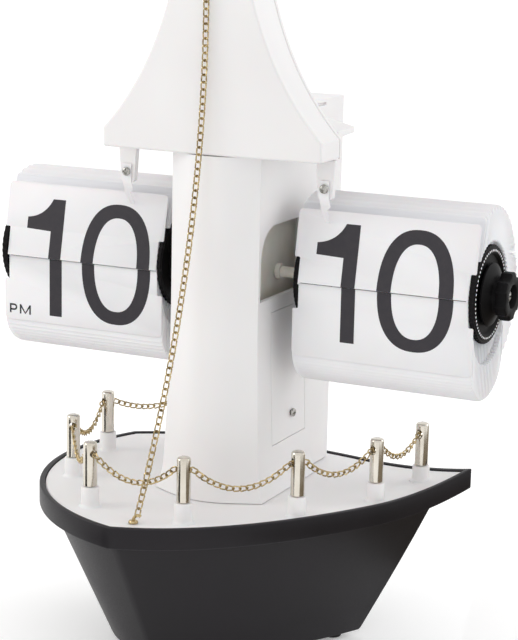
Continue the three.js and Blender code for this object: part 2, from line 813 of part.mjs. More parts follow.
// Spur gear with involute flanks, its axis along X
function gear(module, teeth, x0, x1, y, z, boreRadius, phase) {
  const pitchRadius = (module * teeth) / 2;
  const baseRadius = pitchRadius * Math.cos(rad(20));
  const involute = (angle) => Math.tan(angle) - angle;
  const halfTooth = (r) => {
    const pressure = Math.acos(Math.min(1, baseRadius / r));
    return Math.PI / (2 * teeth) + involute(rad(20)) - involute(pressure) - gearSlack / 2 / pitchRadius;
  };
  const root = pitchRadius - 1.25 * module;
  const tip = pitchRadius + 0.85 * module;
  const low = Math.max(root, baseRadius);
  const points = [...Array(teeth).keys()].flatMap((i) => {
    const centre = phase + (2 * Math.PI * i) / teeth;
    const side = [[halfTooth(low), root], [halfTooth(tip), tip]];
    const rising = side.map(([half, r]) => [centre - half, r]);
    const falling = side.map(([half, r]) => [centre + half, r]).reverse();
    return [...rising, ...falling];
  }).map(([a, r]) => [y + r * Math.cos(a), z + r * Math.sin(a)]);
  return cut(slabX(points, x0, x1), rodX(boreRadius, x0 - 1, x1 + 1, y, z, 12));
}

// Movement: a frame with three bearing walls, a motor and the gears that drive the drums
const frameHalf = 14.5;
const frameWall = 2;
const idlerDrop = (gearModule * (drumTeeth + idlerTeeth)) / 2 + gearSlack;
const pinionDrop = idlerDrop + (gearModule * (idlerTeeth + pinionTeeth)) / 2 + gearSlack;
const carryRise = (carryModule * (hourTeeth + carryTeeth)) / 2 + gearSlack;
const frameBottom = axleHeight - pinionDrop - motorDiameter / 2 - 6.4;
const frameTop = axleHeight + carryRise + 12.4;
const gearX = 4;
const pinRadius = 1.5;

function addMovement() {
  const idlerZ = axleHeight - idlerDrop;
  const motorZ = axleHeight - pinionDrop;
  const carryZ = axleHeight + carryRise;
  const rear = towerRearY - towerWall - fitGap;
  const back = box(-frameHalf, frameHalf, rear - frameWall, rear, frameBottom, frameTop);
  const walls = [-frameHalf, -frameWall / 2, frameHalf - frameWall].map((x) => (
    box(x, x + frameWall, -16, rear - 0.5, frameBottom, frameTop)
  ));
  const floor = box(-frameHalf, frameHalf, -16, rear - 0.5, frameBottom, frameBottom + frameWall);
  const idlerPin = rodX(pinRadius, 0.5, gearX + gearThickness + 1.5, 0, idlerZ, 12);
  const carryPin = rodX(0.8, -frameHalf + 1, frameHalf - 1, 0, carryZ, 10);
  const axleHole = rodX(axleDiameter / 2 + fitGap, -20, 20, 0, axleHeight, 16);
  const motorHole = rodX(2.2, -3, 3, 0, motorZ, 12);
  const carryHole = rodX(4, -3, 3, 0, carryZ, 16);
  const frame = join(cut(join(back, ...walls, floor, idlerPin), axleHole, motorHole, carryHole), carryPin);
  add("movement_frame", frame, "nylon");

  const motorRear = -frameWall / 2 - fitGap;
  add("motor", rodX(motorDiameter / 2, motorRear - motorLength, motorRear, 0, motorZ, 24), "steel");
  const gearEnd = gearX + gearThickness;
  const shaft = rodX(1, motorRear + fitGap, gearEnd + 1, 0, motorZ, 10);
  const pinion = gear(gearModule, pinionTeeth, gearX, gearEnd, 0, motorZ, 0.6, Math.PI / 2);
  add("motor_pinion", join(pinion, shaft), "steel");

  const down = -Math.PI / 2;
  const idler = gear(gearModule, idlerTeeth, gearX, gearEnd, 0, idlerZ, pinRadius + fitGap,
    down + Math.PI / idlerTeeth);
  add("idler_gear", idler, "nylon");
  const bore = axleDiameter / 2 + fitGap;
  add("minute_gear", gear(gearModule, drumTeeth, gearX, gearEnd, 0, axleHeight, bore, down), "nylon");
  add("hour_gear", gear(carryModule, hourTeeth, -gearEnd, -gearX, 0, axleHeight, bore, -down), "nylon");
  add("carry_pinion", gear(carryModule, carryTeeth, -gearEnd, gearX - 1, 0, carryZ, 0.8 + fitGap,
    Math.PI / carryTeeth), "nylon");
}

// Stay chain from the eye on the sail's ridge down to the hook on the deck
const mastEyeZ = sailTop - 38;
const hookInset = 9;
const hookPlace = inset(plan, hookInset)[8];

function addStay() {
  const eyeY = sailFrontY - sailRidge;
  const eye = new THREE.TorusGeometry(1.9, 0.6, 6, 12).rotateY(Math.PI / 2)
    .translate(0, eyeY - fitGap - 2.4, mastEyeZ);
  const stud = rodY(0.9, eyeY - fitGap - 0.9, eyeY - fitGap, 0, mastEyeZ, 12);
  add("mast_eye", join(eye, stud), "gold");

  const hookBase = new THREE.Vector3(hookPlace.x, hookPlace.y, deckHeight + fitGap);
  const plate = rodZ(2, hookBase.z, hookBase.z + 1, hookBase.x, hookBase.y, 16);
  const bend = new THREE.CatmullRomCurve3([
    new THREE.Vector3(hookBase.x, hookBase.y, hookBase.z + 0.5),
    new THREE.Vector3(hookBase.x, hookBase.y, hookBase.z + 2),
    new THREE.Vector3(hookBase.x + 1.6, hookBase.y, hookBase.z + 3.1),
    new THREE.Vector3(hookBase.x + 3.3, hookBase.y, hookBase.z + 2.3),
    new THREE.Vector3(hookBase.x + 3.4, hookBase.y, hookBase.z + 1.2),
  ]);
  add("deck_hook", join(plate, tube(bend, 1.3, 10, 8)), "gold", hull);

  hull.updateMatrixWorld(true);
  const low = new THREE.Vector3(hookBase.x + 1.6, hookBase.y, hookBase.z + 4.7).applyMatrix4(hull.matrixWorld);
  const high = new THREE.Vector3(0, eyeY - 2.9, mastEyeZ - 3.05);
  const middle = low.clone().lerp(high, 0.5).add(new THREE.Vector3(3.8, 24.6, 0));
  add("stay_chain", tube(new THREE.QuadraticBezierCurve3(low, middle, high), chainDiameter, 40, 6), "gold");
}

addHull();
addBatteryBay();
addDeck();
addPosts();
addRailChain();
addTower();
addBackPanel();
addSail();
addBrackets();
addDrums();
addMovement();
addStay();

// The origin stands at the middle of the footprint, on the surface that the feet rest on
clock.updateMatrixWorld(true);
const bounds = new THREE.Box3().setFromObject(clock, true);
const middle = bounds.getCenter(new THREE.Vector3());
clock.position.set(-middle.x, -middle.y, -bounds.min.z);

export default clock;
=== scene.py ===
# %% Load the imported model
import math
import bpy
import bmesh
from mathutils import Matrix, Vector


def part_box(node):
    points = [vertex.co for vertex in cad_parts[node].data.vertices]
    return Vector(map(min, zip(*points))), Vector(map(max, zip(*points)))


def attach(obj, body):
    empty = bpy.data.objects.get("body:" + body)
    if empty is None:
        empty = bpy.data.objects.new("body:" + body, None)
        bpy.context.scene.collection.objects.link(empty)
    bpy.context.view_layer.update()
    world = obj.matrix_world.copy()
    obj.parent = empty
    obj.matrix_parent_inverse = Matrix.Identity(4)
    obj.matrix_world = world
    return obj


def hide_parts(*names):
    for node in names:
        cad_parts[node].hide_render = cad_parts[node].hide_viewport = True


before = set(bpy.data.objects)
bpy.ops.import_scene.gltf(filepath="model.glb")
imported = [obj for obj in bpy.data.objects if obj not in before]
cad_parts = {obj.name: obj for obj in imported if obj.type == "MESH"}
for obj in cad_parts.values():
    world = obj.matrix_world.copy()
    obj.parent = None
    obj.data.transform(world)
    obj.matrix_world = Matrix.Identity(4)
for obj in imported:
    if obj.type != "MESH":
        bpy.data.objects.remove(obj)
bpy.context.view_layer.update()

# %% [markdown]
# The clock stands in the CAD frame: X runs along the drum axle, minus Y is the side that shows the time,
# Z is up. The real object is measured most easily from its mast, so every size here is written in
# millimetres from the point on the table under the mast, and one function moves it into the frame.

# %% Millimetres to metres, and the mast's place
MM = 0.001
disc_low, disc_high = (Vector(corner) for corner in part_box("minute_inner_disc"))
minute_axle_low, hour_axle_high = Vector(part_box("minute_axle")[0]), Vector(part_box("hour_axle")[1])
axle_height = (disc_low.z + disc_high.z) / 2 / MM
mast_x = (minute_axle_low.x + hour_axle_high.x) / 2 / MM
mast_y = (disc_low.y + disc_high.y) / 2 / MM


def at(x, y, z):
    """A point given in millimetres from the mast's foot, as metres in the frame."""
    return Vector(((x + mast_x) * MM, (y + mast_y) * MM, z * MM))


hull_turn = math.radians(25)
hull_centre = (2.0, -4.0)


def boat(u, v, z):
    """A point on the boat: u towards the bow, v towards the far side, all in millimetres."""
    x = hull_centre[0] + u * math.cos(hull_turn) - v * math.sin(hull_turn)
    y = hull_centre[1] + u * math.sin(hull_turn) + v * math.cos(hull_turn)
    return at(x, y, z)


print("axle height", round(axle_height, 1), "mast at", round(mast_x, 1), round(mast_y, 1))

# %% [markdown]
# The photograph was taken from the right of the clock and from a little above it, with a long lens.
# The camera comes first, because every later choice is judged through it. Its turn, pitch and slight
# roll put the drums, the posts and the hull where the photograph has them.

# %% Camera
view_yaw = math.radians(25.4)
view_pitch = math.radians(12.2)
view_roll = 0.022
view_distance = 849.0
view_aside = 6.01
view_height = 141.5
focal_pixels = 1965.2
frame_height = 640


def linked(name, data):
    """A new object in the scene, at the origin."""
    made = bpy.data.objects.new(name, data)
    bpy.context.collection.objects.link(made)
    return made


back = Vector((math.sin(view_yaw) * math.cos(view_pitch), -math.cos(view_yaw) * math.cos(view_pitch),
               math.sin(view_pitch)))
right = Vector((math.cos(view_yaw), math.sin(view_yaw), 0))
up = back.cross(right)
rolled_right = right * math.cos(view_roll) + up * math.sin(view_roll)
rolled_up = up * math.cos(view_roll) - right * math.sin(view_roll)
target = at(view_aside * right.x, view_aside * right.y, view_height)
camera_data = bpy.data.cameras.new("camera")
camera_data.sensor_width = 36
camera_data.lens = focal_pixels * camera_data.sensor_width / frame_height
camera_data.clip_end = 20
camera = linked("camera", camera_data)
turn = Matrix((rolled_right, rolled_up, back)).transposed().to_4x4()
camera.matrix_world = Matrix.Translation(target + back * view_distance * MM) @ turn
bpy.context.scene.camera = camera
bpy.context.scene.view_settings.view_transform = "Standard"
print("lens", round(camera_data.lens, 1), "mm, seen from", round(view_distance), "mm")

# %% [markdown]
# A material in Blender is a small graph. A few helpers keep the graphs readable: one turns a hex colour
# into the linear numbers that the shader works with, one adds a node with its settings and links, and
# the others make what nearly every finish needs, such as a grain and the bumps that it gives.

# %% Colour and node helpers
def linear(hex_colour):
    """sRGB hex, such as 'f2f1ee', to linear RGBA."""
    parts = [int(hex_colour[i:i + 2], 16) / 255 for i in (0, 2, 4)]
    return tuple(c / 12.92 if c <= 0.04045 else ((c + 0.055) / 1.055) ** 2.4 for c in parts) + (1.0,)


def node(tree, kind, inputs=None, **settings):
    """Adds a node; inputs maps a socket to a value or to another node's output."""
    made = tree.nodes.new(kind)
    for name, value in settings.items():
        setattr(made, name, value)
    for socket, value in (inputs or {}).items():
        if isinstance(value, bpy.types.NodeSocket):
            tree.links.new(value, made.inputs[socket])
        else:
            made.inputs[socket].default_value = value
    return made


def ramp(tree, factor, stops):
    """A colour ramp from (position, hex colour) stops."""
    made = node(tree, "ShaderNodeValToRGB", {"Fac": factor})
    for i, (position, colour) in enumerate(stops):
        element = made.color_ramp.elements[i] if i < 2 else made.color_ramp.elements.new(position)
        element.position = position
        element.color = linear(colour)
    return made.outputs["Color"]


def shader(name, **values):
    """A new material and its principled shader, with plain values set on the sockets."""
    material = bpy.data.materials.new(name)
    material.use_nodes = True
    bsdf = material.node_tree.nodes["Principled BSDF"]
    for socket, value in values.items():
        bsdf.inputs[socket.replace("_", " ")].default_value = value
    return material, material.node_tree, bsdf


def noise(tree, scale_mm, detail=3.0, stretch=(1, 1, 1)):
    """Noise on object coordinates whose grains are about scale_mm across."""
    place = node(tree, "ShaderNodeTexCoord").outputs["Object"]
    sized = node(tree, "ShaderNodeMapping", {"Vector": place, "Scale": stretch}).outputs["Vector"]
    made = node(tree, "ShaderNodeTexNoise", {"Vector": sized, "Scale": 1 / (scale_mm * MM),
                                             "Detail": detail})
    return made.outputs["Fac"]


def spread(tree, factor, low_value, high_value):
    """Maps the middle of a noise's span on to a range of values."""
    made = node(tree, "ShaderNodeMapRange", {"Value": factor, "From Min": 0.3, "From Max": 0.7,
                                             "To Min": low_value, "To Max": high_value})
    return made.outputs["Result"]


def dress(tree, bsdf, colour, roughness):
    """Links a colour and a roughness to the shader."""
    tree.links.new(colour, bsdf.inputs["Base Color"])
    tree.links.new(roughness, bsdf.inputs["Roughness"])


def bump(tree, bsdf, height, depth_mm, strength=1.0):
    """Small dents and bumps that follow a height."""
    made = node(tree, "ShaderNodeBump", {"Height": height, "Distance": depth_mm * MM, "Strength": strength})
    tree.links.new(made.outputs["Normal"], bsdf.inputs["Normal"])


def worn_edge(tree, radius_mm, tint, worn_tint):
    """The tint, with a paler one where the surface bends sharply, as on an edge."""
    soft = node(tree, "ShaderNodeBevel", {"Radius": radius_mm * MM}, samples=4).outputs["Normal"]
    true = node(tree, "ShaderNodeNewGeometry").outputs["Normal"]
    dot = node(tree, "ShaderNodeVectorMath", {0: soft, 1: true}, operation="DOT_PRODUCT").outputs["Value"]
    bent = node(tree, "ShaderNodeMapRange", {"Value": dot, "From Min": 1.0, "From Max": 0.85})
    made = node(tree, "ShaderNodeMix", {"Factor": bent.outputs["Result"], 6: tint, 7: linear(worn_tint)},
                data_type="RGBA")
    return made.outputs[2]

# %% [markdown]
# The tower, the sail, the deck and the drums' leaves are all white, but not the same white. The cast
# parts are satin ABS: very fine spark-eroded grain, a soft wide gloss and a slightly warm tone that
# drifts over a hand's breadth. The leaves are thin matt sheet. Real plastic lets a little light in,
# which lifts its shadows, so all have a trace of subsurface light. The gears inside are natural nylon,
# which is creamier and lets more light in.

# %% White plastics
def satin_white_abs():
    material, tree, bsdf = shader("satin_white_abs", IOR=1.53, Subsurface_Weight=0.08,
                                  Subsurface_Scale=0.0015)
    tint = ramp(tree, noise(tree, 60, 2), [(0.3, "eeecec"), (0.7, "f4f3f3")])
    grain = noise(tree, 0.5, 4)
    dress(tree, bsdf, tint, spread(tree, grain, 0.40, 0.52))
    bump(tree, bsdf, grain, 0.012, 0.6)
    return material


def matt_leaf_sheet():
    material, tree, bsdf = shader("matt_leaf_sheet", IOR=1.5, Subsurface_Weight=0.12,
                                  Subsurface_Scale=0.001)
    tint = ramp(tree, noise(tree, 35, 2), [(0.3, "f0eef0"), (0.7, "f6f4f6")])
    grain = noise(tree, 0.35, 3)
    dress(tree, bsdf, tint, spread(tree, grain, 0.55, 0.68))
    bump(tree, bsdf, grain, 0.006, 0.5)
    return material


def natural_nylon():
    material, tree, bsdf = shader("natural_nylon", IOR=1.53, Subsurface_Weight=0.25,
                                  Subsurface_Scale=0.002)
    tint = ramp(tree, noise(tree, 14, 3), [(0.3, "ebe6d9"), (0.7, "f5f2e8")])
    grain = noise(tree, 0.4, 3)
    dress(tree, bsdf, tint, spread(tree, grain, 0.38, 0.5))
    bump(tree, bsdf, grain, 0.01, 0.5)
    return material


white_abs = satin_white_abs()
leaf_sheet = matt_leaf_sheet()
nylon = natural_nylon()
print("whites", white_abs.name, leaf_sheet.name, nylon.name)

# %% [markdown]
# The hull is the same plastic in near-black, where the grain catches the light as a cool grey sheen on
# the curved ends. Handling rubs its edges, so the sharp edges get a paler tone. The drum discs and the
# knob are flatter and blacker. The figures are a dark grey screen ink, and the feet are dusty rubber.

# %% Dark plastics, ink and rubber
def satin_black_abs():
    material, tree, bsdf = shader("satin_black_abs", IOR=1.53, Specular_IOR_Level=0.2)
    drift = noise(tree, 45, 3)
    tint = ramp(tree, drift, [(0.3, "1b191c"), (0.7, "211e22")])
    grain = noise(tree, 0.45, 4)
    rough = spread(tree, grain, 0.36, 0.50)
    eased = node(tree, "ShaderNodeMath", {0: rough, 1: spread(tree, drift, -0.03, 0.05)}, operation="ADD")
    dress(tree, bsdf, worn_edge(tree, 0.9, tint, "38353a"), eased.outputs["Value"])
    bump(tree, bsdf, grain, 0.014, 0.7)
    return material


def matt_black_abs():
    material, tree, bsdf = shader("matt_black_abs", IOR=1.53, Specular_IOR_Level=0.1)
    tint = ramp(tree, noise(tree, 12, 3), [(0.3, "0d0c0d"), (0.7, "121112")])
    grain = noise(tree, 0.3, 3)
    dress(tree, bsdf, worn_edge(tree, 0.35, tint, "242225"), spread(tree, grain, 0.48, 0.62))
    bump(tree, bsdf, grain, 0.012, 0.6)
    return material


def screen_ink():
    material, tree, bsdf = shader("screen_ink", IOR=1.5, Specular_IOR_Level=0.25)
    tint = ramp(tree, noise(tree, 3, 4), [(0.3, "37353a"), (0.7, "3c393d")])
    dress(tree, bsdf, tint, spread(tree, noise(tree, 0.25, 3), 0.5, 0.62))
    return material


def moulded_rubber():
    material, tree, bsdf = shader("moulded_rubber", IOR=1.52)
    dust = noise(tree, 2.5, 5)
    tint = ramp(tree, dust, [(0.35, "1a1a1a"), (0.75, "2c2b2a")])
    dress(tree, bsdf, tint, spread(tree, dust, 0.75, 0.9))
    bump(tree, bsdf, dust, 0.03, 0.5)
    return material


black_abs = satin_black_abs()
disc_black = matt_black_abs()
ink = screen_ink()
rubber = moulded_rubber()
print("darks", black_abs.name, disc_black.name, ink.name, rubber.name)

# %% [markdown]
# Three metals: nickel-chrome plate on the posts, which looks warm because it mirrors a warm room,
# antique gold plate on the chains, with darker patches of tarnish, and bright zinc on the screws. The
# cell has a metallised jacket. A metal keeps the default IOR, and its character comes from colour,
# roughness and small dents.

# %% Metals
def warm_chrome_plate():
    material, tree, bsdf = shader("warm_chrome_plate", Metallic=1.0)
    tint = ramp(tree, noise(tree, 9, 3), [(0.3, "cfc8bb"), (0.7, "ded9cf")])
    smear = noise(tree, 3, 4, (1, 1, 0.3))
    dress(tree, bsdf, tint, spread(tree, smear, 0.10, 0.22))
    bump(tree, bsdf, noise(tree, 1.2, 2), 0.01, 0.4)
    return material


def antique_gold_plate():
    material, tree, bsdf = shader("antique_gold_plate", Metallic=1.0)
    tarnish = noise(tree, 1.6, 4)
    tint = ramp(tree, tarnish, [(0.32, "8d7a55"), (0.68, "dcc79a")])
    dress(tree, bsdf, tint, spread(tree, tarnish, 0.42, 0.24))
    bump(tree, bsdf, noise(tree, 0.3, 2), 0.02, 0.5)
    return material


def bright_zinc_plate():
    material, tree, bsdf = shader("bright_zinc_plate", Metallic=1.0)
    tint = ramp(tree, noise(tree, 2, 3), [(0.3, "a6a5a1"), (0.7, "c6c5c0")])
    dress(tree, bsdf, tint, spread(tree, noise(tree, 0.4, 3), 0.22, 0.4))
    bump(tree, bsdf, noise(tree, 0.3, 3), 0.008, 0.5)
    return material


def cell_jacket():
    material, tree, bsdf = shader("cell_jacket", Metallic=0.7)
    tint = ramp(tree, noise(tree, 8, 2), [(0.3, "6f757c"), (0.7, "8d949b")])
    dress(tree, bsdf, tint, spread(tree, noise(tree, 0.6, 3), 0.3, 0.42))
    return material


chrome = warm_chrome_plate()
gold = antique_gold_plate()
zinc = bright_zinc_plate()
jacket = cell_jacket()
print("metals", chrome.name, gold.name, zinc.name, jacket.name)

# %% [markdown]
# Every piece ends the same way: a mesh with its place in its vertices, faces outward, smooth where the
# real surface is smooth, and small rounded edges, because a moulded edge is never a knife. The helpers
# below do that, and hand the piece to the frame: which body it rides, which nodes it stands for.

# %% Making and handing over a piece
def to_object(name, bm, material, crease=35, rounding=0.0, steps=2):
    """Turns a bmesh into an object with outward faces and, if asked, rounded edges."""
    bmesh.ops.remove_doubles(bm, verts=bm.verts, dist=1e-7)
    bmesh.ops.recalc_face_normals(bm, faces=bm.faces)
    mesh = bpy.data.meshes.new(name)
    bm.to_mesh(mesh)
    bm.free()
    mesh.materials.append(material)
    mesh.shade_smooth()
    mesh.set_sharp_from_angle(angle=math.radians(crease))
    made = linked(name, mesh)
    if rounding:
        round_edges(made, rounding, steps, crease)
    return made


def round_edges(made, width, steps=2, angle=35):
    """Rounds every edge that bends by more than the angle, width in millimetres."""
    edge = made.modifiers.new("rounding", "BEVEL")
    edge.width = width * MM
    edge.segments = steps
    edge.limit_method = "ANGLE"
    edge.angle_limit = math.radians(angle)
    edge.harden_normals = True
    return made


def evaluated_mesh(made):
    """The mesh that the object's modifiers give."""
    bpy.context.view_layer.update()
    graph = bpy.context.evaluated_depsgraph_get()
    return bpy.data.meshes.new_from_object(made.evaluated_get(graph))


def settle(made, name=None):
    """Applies every modifier by taking the evaluated mesh, and leaves the object plain."""
    mesh = evaluated_mesh(made)
    made.modifiers.clear()
    made.data = mesh
    if name:
        made.name = name
    return made


# %% Joining pieces and handing them over
def merged(name, objects):
    """Joins settled objects into one mesh object, with their materials."""
    bm = bmesh.new()
    materials = []
    for made in objects:
        settle(made)
        offset = []
        for material in made.data.materials:
            if material not in materials:
                materials.append(material)
            offset.append(materials.index(material))
        part = made.data.copy()
        for face in part.polygons:
            face.material_index = offset[face.material_index] if offset else 0
        bm.from_mesh(part)
        bpy.data.objects.remove(made)
    mesh = bpy.data.meshes.new(name)
    bm.to_mesh(mesh)
    bm.free()
    for material in materials:
        mesh.materials.append(material)
    return linked(name, mesh)


def hand_over(made, body, slot, *nodes):
    """The piece rides a body and stands for CAD nodes, whose parts it hides. The slot is not used."""
    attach(made, body)
    if nodes:
        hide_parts(*nodes)
    print(made.name, "rides", body, "with", len(made.data.polygons), "faces")


# %% Shapes from rings of points
def rings_to_bmesh(rings, closed=True, caps=True):
    """Skins a row of point rings of equal length: capped at both ends, or closed on itself."""
    bm = bmesh.new()
    rows = [[bm.verts.new(p) for p in ring] for ring in rings]
    count = len(rings[0])
    pairs = list(zip(rows, rows[1:]))
    if closed and not caps:
        pairs.append((rows[-1], rows[0]))
    for a, b in pairs:
        for i in range(count):
            j = (i + 1) % count
            bm.faces.new((a[i], a[j], b[j], b[i]))
    if caps:
        bm.faces.new(rows[0])
        bm.faces.new(rows[-1])
    return bm


def prism(outline, place, near, far):
    """Extrudes an outline of (a, b) pairs; place(a, b, depth) gives the point."""
    return rings_to_bmesh([[place(a, b, near) for a, b in outline], [place(a, b, far) for a, b in outline]])


def along_x(a, b, depth):
    return at(depth, a, b)


def along_y(a, b, depth):
    return at(a, depth, b)


def block(name, x0, x1, y0, y1, z0, z1, material, rounding=0.4, steps=2):
    """A box between two corners, with rounded edges."""
    outline = [(x0, z0), (x1, z0), (x1, z1), (x0, z1)]
    return to_object(name, prism(outline, along_y, y0, y1), material, 35, rounding, steps)


def turned(name, profile, place, material, steps=64, crease=30):
    """Turns a closed profile of (radius, length) pairs; place(length, a, b) gives the point."""
    rings = []
    for i in range(steps):
        angle = 2 * math.pi * i / steps
        rings.append([place(length, radius * math.cos(angle), radius * math.sin(angle))
                      for radius, length in profile])
    bm = bmesh.new()
    rows = [[bm.verts.new(p) for p in ring] for ring in rings]
    count = len(profile)
    for i in range(steps):
        a, b = rows[i], rows[(i + 1) % steps]
        for j in range(count):
            k = (j + 1) % count
            if profile[j][0] < 1e-6 and profile[k][0] < 1e-6:
                continue
            bm.faces.new((a[j], a[k], b[k], b[j]))
    bmesh.ops.remove_doubles(bm, verts=bm.verts, dist=1e-7)
    bmesh.ops.dissolve_degenerate(bm, edges=bm.edges, dist=1e-8)
    return to_object(name, bm, material, crease)


# %% Rods and cuts
def rod(name, radius, start, end, place, material, steps):
    """A round bar along the turned shape's axis, mostly used to drill a hole."""
    return turned(name, [(0.0, start), (radius, start), (radius, end), (0.0, end)], place, material, steps)


def cut_away(made, *cutters, operation="DIFFERENCE"):
    """Boolean with each cutter, which is then deleted."""
    for cutter in cutters:
        knife = made.modifiers.new("cut", "BOOLEAN")
        knife.operation = operation
        knife.solver = "EXACT"
        knife.object = cutter
    settle(made)
    for cutter in cutters:
        bpy.data.objects.remove(cutter)
    made.data.set_sharp_from_angle(angle=math.radians(35))
    return made

# %% [markdown]
# The hull is one moulded shell whose sides run straight from the flat bottom up to the deck. Its plan
# is a transom arc at the stern and one smooth curve on each side that meets in a point at the bow. A
# formula gives the plan. The hull's foot is the same plan made smaller, its head is the plan drawn in,
# and every level between is a blend of the two, so a loft of rings is the natural way to make it.

# %% Plan of the boat
stern_u, bow_u = -88.0, 100.0
corner_u, transom_half = -52.5, 73.0
shoulder, bow_pull = (-10.0, 80.0), (40.0, 55.0)
deck_height, deck_thickness = 71.0, 2.5
rim_width, rim_height, fit_gap = 2.4, 8.5, 0.3
stem_top_u = 88.0
keel_bow_u, keel_stern_u, keel_half, hull_bottom = 54.0, -57.0, 38.0, 2.5
hull_wall, hull_levels, round_level, floor_level = 2.4, 6, hull_bottom + 1.4, hull_bottom + 3
bay_u, bay_half_length, bay_half_width = -13.0, 34.0, 20.0


def near_side(transom_steps=20, side_steps=56):
    """Half the plan: from the middle of the transom round the near side to the bow."""
    sagitta = corner_u - stern_u
    radius = (transom_half ** 2 + sagitta ** 2) / (2 * sagitta)
    reach = math.asin(transom_half / radius)
    points = []
    for i in range(transom_steps):
        angle = reach * i / transom_steps
        points.append((stern_u + radius * (1 - math.cos(angle)), -radius * math.sin(angle)))
    ends = ((corner_u, -transom_half), (shoulder[0], -shoulder[1]), (bow_pull[0], -bow_pull[1]),
            (bow_u, 0.0))
    for i in range(side_steps + 1):
        t = i / side_steps
        weights = ((1 - t) ** 3, 3 * t * (1 - t) ** 2, 3 * t * t * (1 - t), t ** 3)
        points.append(tuple(sum(w * p[k] for w, p in zip(weights, ends)) for k in (0, 1)))
    return points


def plan():
    side = near_side()
    return side + [(u, -v) for u, v in reversed(side[1:-1])]


def drawn_in(points, distance):
    """Moves each edge of the outline inward by one distance."""
    moved = []
    for i, (x, y) in enumerate(points):
        (ax, ay), (bx, by) = points[i - 1], points[(i + 1) % len(points)]
        a, b = Vector((ay - y, x - ax)).normalized(), Vector((y - by, bx - x)).normalized()
        middle = (a + b).normalized()
        step = distance / max(0.35, middle.dot(a))
        moved.append((x + middle.x * step, y + middle.y * step))
    return moved


def sheer(u):
    """Height of the deck at u: level, then rising to the bow."""
    rise_u, bow_rise = 55, 7
    run = max(0.0, (u - rise_u) / (bow_u - rise_u))
    return deck_height + bow_rise * run * run


def hull_top(inset):
    """The hull's upper edge under the deck, its stem a little behind the rim's tip."""
    edge = drawn_in(outline, rim_width + fit_gap + inset)
    tip = max(u for u, v in edge)
    return [(u * (stem_top_u - inset) / tip if u > 0 else u, v) for u, v in edge]


def keel():
    """The hull's foot: the plan made smaller."""
    length = (keel_bow_u - keel_stern_u) / (bow_u - stern_u)
    beam = keel_half / transom_half
    return [(keel_stern_u + (u - stern_u) * length, v * beam) for u, v in outline]


outline = plan()
print("plan points", len(outline))

# %% Hull shell with its rounded foot and the battery doorway
def part_way(start, end, share):
    """The point a share of the way between two points of a flat drawing."""
    return tuple(start[k] + (end[k] - start[k]) * share for k in (0, 1))


def blended(foot, head, start, share):
    """A ring of the hull a share of the way from its foot at start to its head under the deck."""
    top_drop = deck_thickness + fit_gap
    ring = [part_way(p, q, share) for p, q in zip(foot, head)]
    return [boat(u, v, start + (sheer(u) - top_drop - start) * share) for u, v in ring]


def bay_corners(gap):
    """The four corners of the battery doorway, drawn in by a gap."""
    stern, bow = bay_u - bay_half_length + gap, bay_u + bay_half_length - gap
    half = bay_half_width - gap
    return [(stern, -half), (bow, -half), (bow, half), (stern, half)]


def hull_shell():
    foot = keel()
    inner_foot = drawn_in(foot, hull_wall + 1)
    rings = [[boat(u, v, hull_bottom) for u, v in drawn_in(foot, 1.6)],
             [boat(u, v, hull_bottom + 0.45) for u, v in drawn_in(foot, 0.5)]]
    rings += [blended(foot, hull_top(0), round_level, i / hull_levels) for i in range(hull_levels + 1)]
    rings += [blended(inner_foot, hull_top(hull_wall), floor_level, i / hull_levels)
              for i in range(hull_levels, 0, -1)]
    rings.append([boat(u, v, floor_level) for u, v in drawn_in(foot, hull_wall + 1.5)])
    made = to_object("hull", rings_to_bmesh(rings), black_abs, 38)
    doorway = [[boat(u, v, level) for u, v in bay_corners(0)] for level in (0, 6.5)]
    return cut_away(made, to_object("doorway", rings_to_bmesh(doorway), black_abs))


hand_over(hull_shell(), "body", "hull_plastic", "hull_shell")

# %% [markdown]
# The rim is a separate dark band that clips round the top of the hull. Its section is a narrow upright
# bar with rounded corners, swept round the plan and up to the bow, where it overhangs the stem. A
# small flange under the deck closes that overhang.

# %% Rim band
def swept(name, section):
    """Sweeps a closed section of (outline on the plan, lift above the deck) round the boat."""
    rings = [[boat(u, v, sheer(u) + lift) for u, v in points] for points, lift in section]
    return to_object(name, rings_to_bmesh(rings, caps=False), black_abs, 32)


def rim_band():
    r, soft, lip = 0.55, 0.16, 0.6
    step, deck_under = rim_width / 2 + 1.0, -deck_thickness - fit_gap
    section = [(0.0, -rim_height + r), (soft, -rim_height + soft), (r, -rim_height), (step, -rim_height),
               (step, deck_under), (rim_width, deck_under), (rim_width, lip - r),
               (rim_width - soft, lip - soft), (rim_width - r, lip), (r, lip), (soft, lip - soft),
               (0.0, lip - r)]
    band = swept("rim", [(drawn_in(outline, inset), lift) for inset, lift in section])
    outer, inner = drawn_in(outline, 1.2), hull_top(-fit_gap)
    low_edge, high_edge = -rim_height + 0.9, deck_under - 0.1
    seat = swept("rim_seat", [(outer, low_edge), (outer, high_edge), (inner, high_edge), (inner, low_edge)])
    return merged("rim", [band, seat])


hand_over(rim_band(), "body", "hull_plastic", "rim_band")

# %% [markdown]
# The deck is a white plate that follows the sheer. Eight round seats stand on it for the rail posts;
# where a moulded seat meets its plate there is always a small fillet, and here a turned profile draws
# both at once.

# %% Deck with post seats
seat_height = 8.5
seat_radius = 3.8
post_marks = {
    "bow": (78.0, 0.0), "fore": (57.0, -27.0), "mid": (23.6, -49.4), "aft": (-22.7, -62.0),
    "quarter": (-62.4, -42.6), "stern": (-73.8, 0.0),
    "far_quarter": (-62.4, 42.6), "far_aft": (-22.7, 62.0),
}


def stands(u, v):
    """Places a turned shape upright on the boat at (u, v)."""
    return lambda length, a, b: boat(u + a, v + b, length)


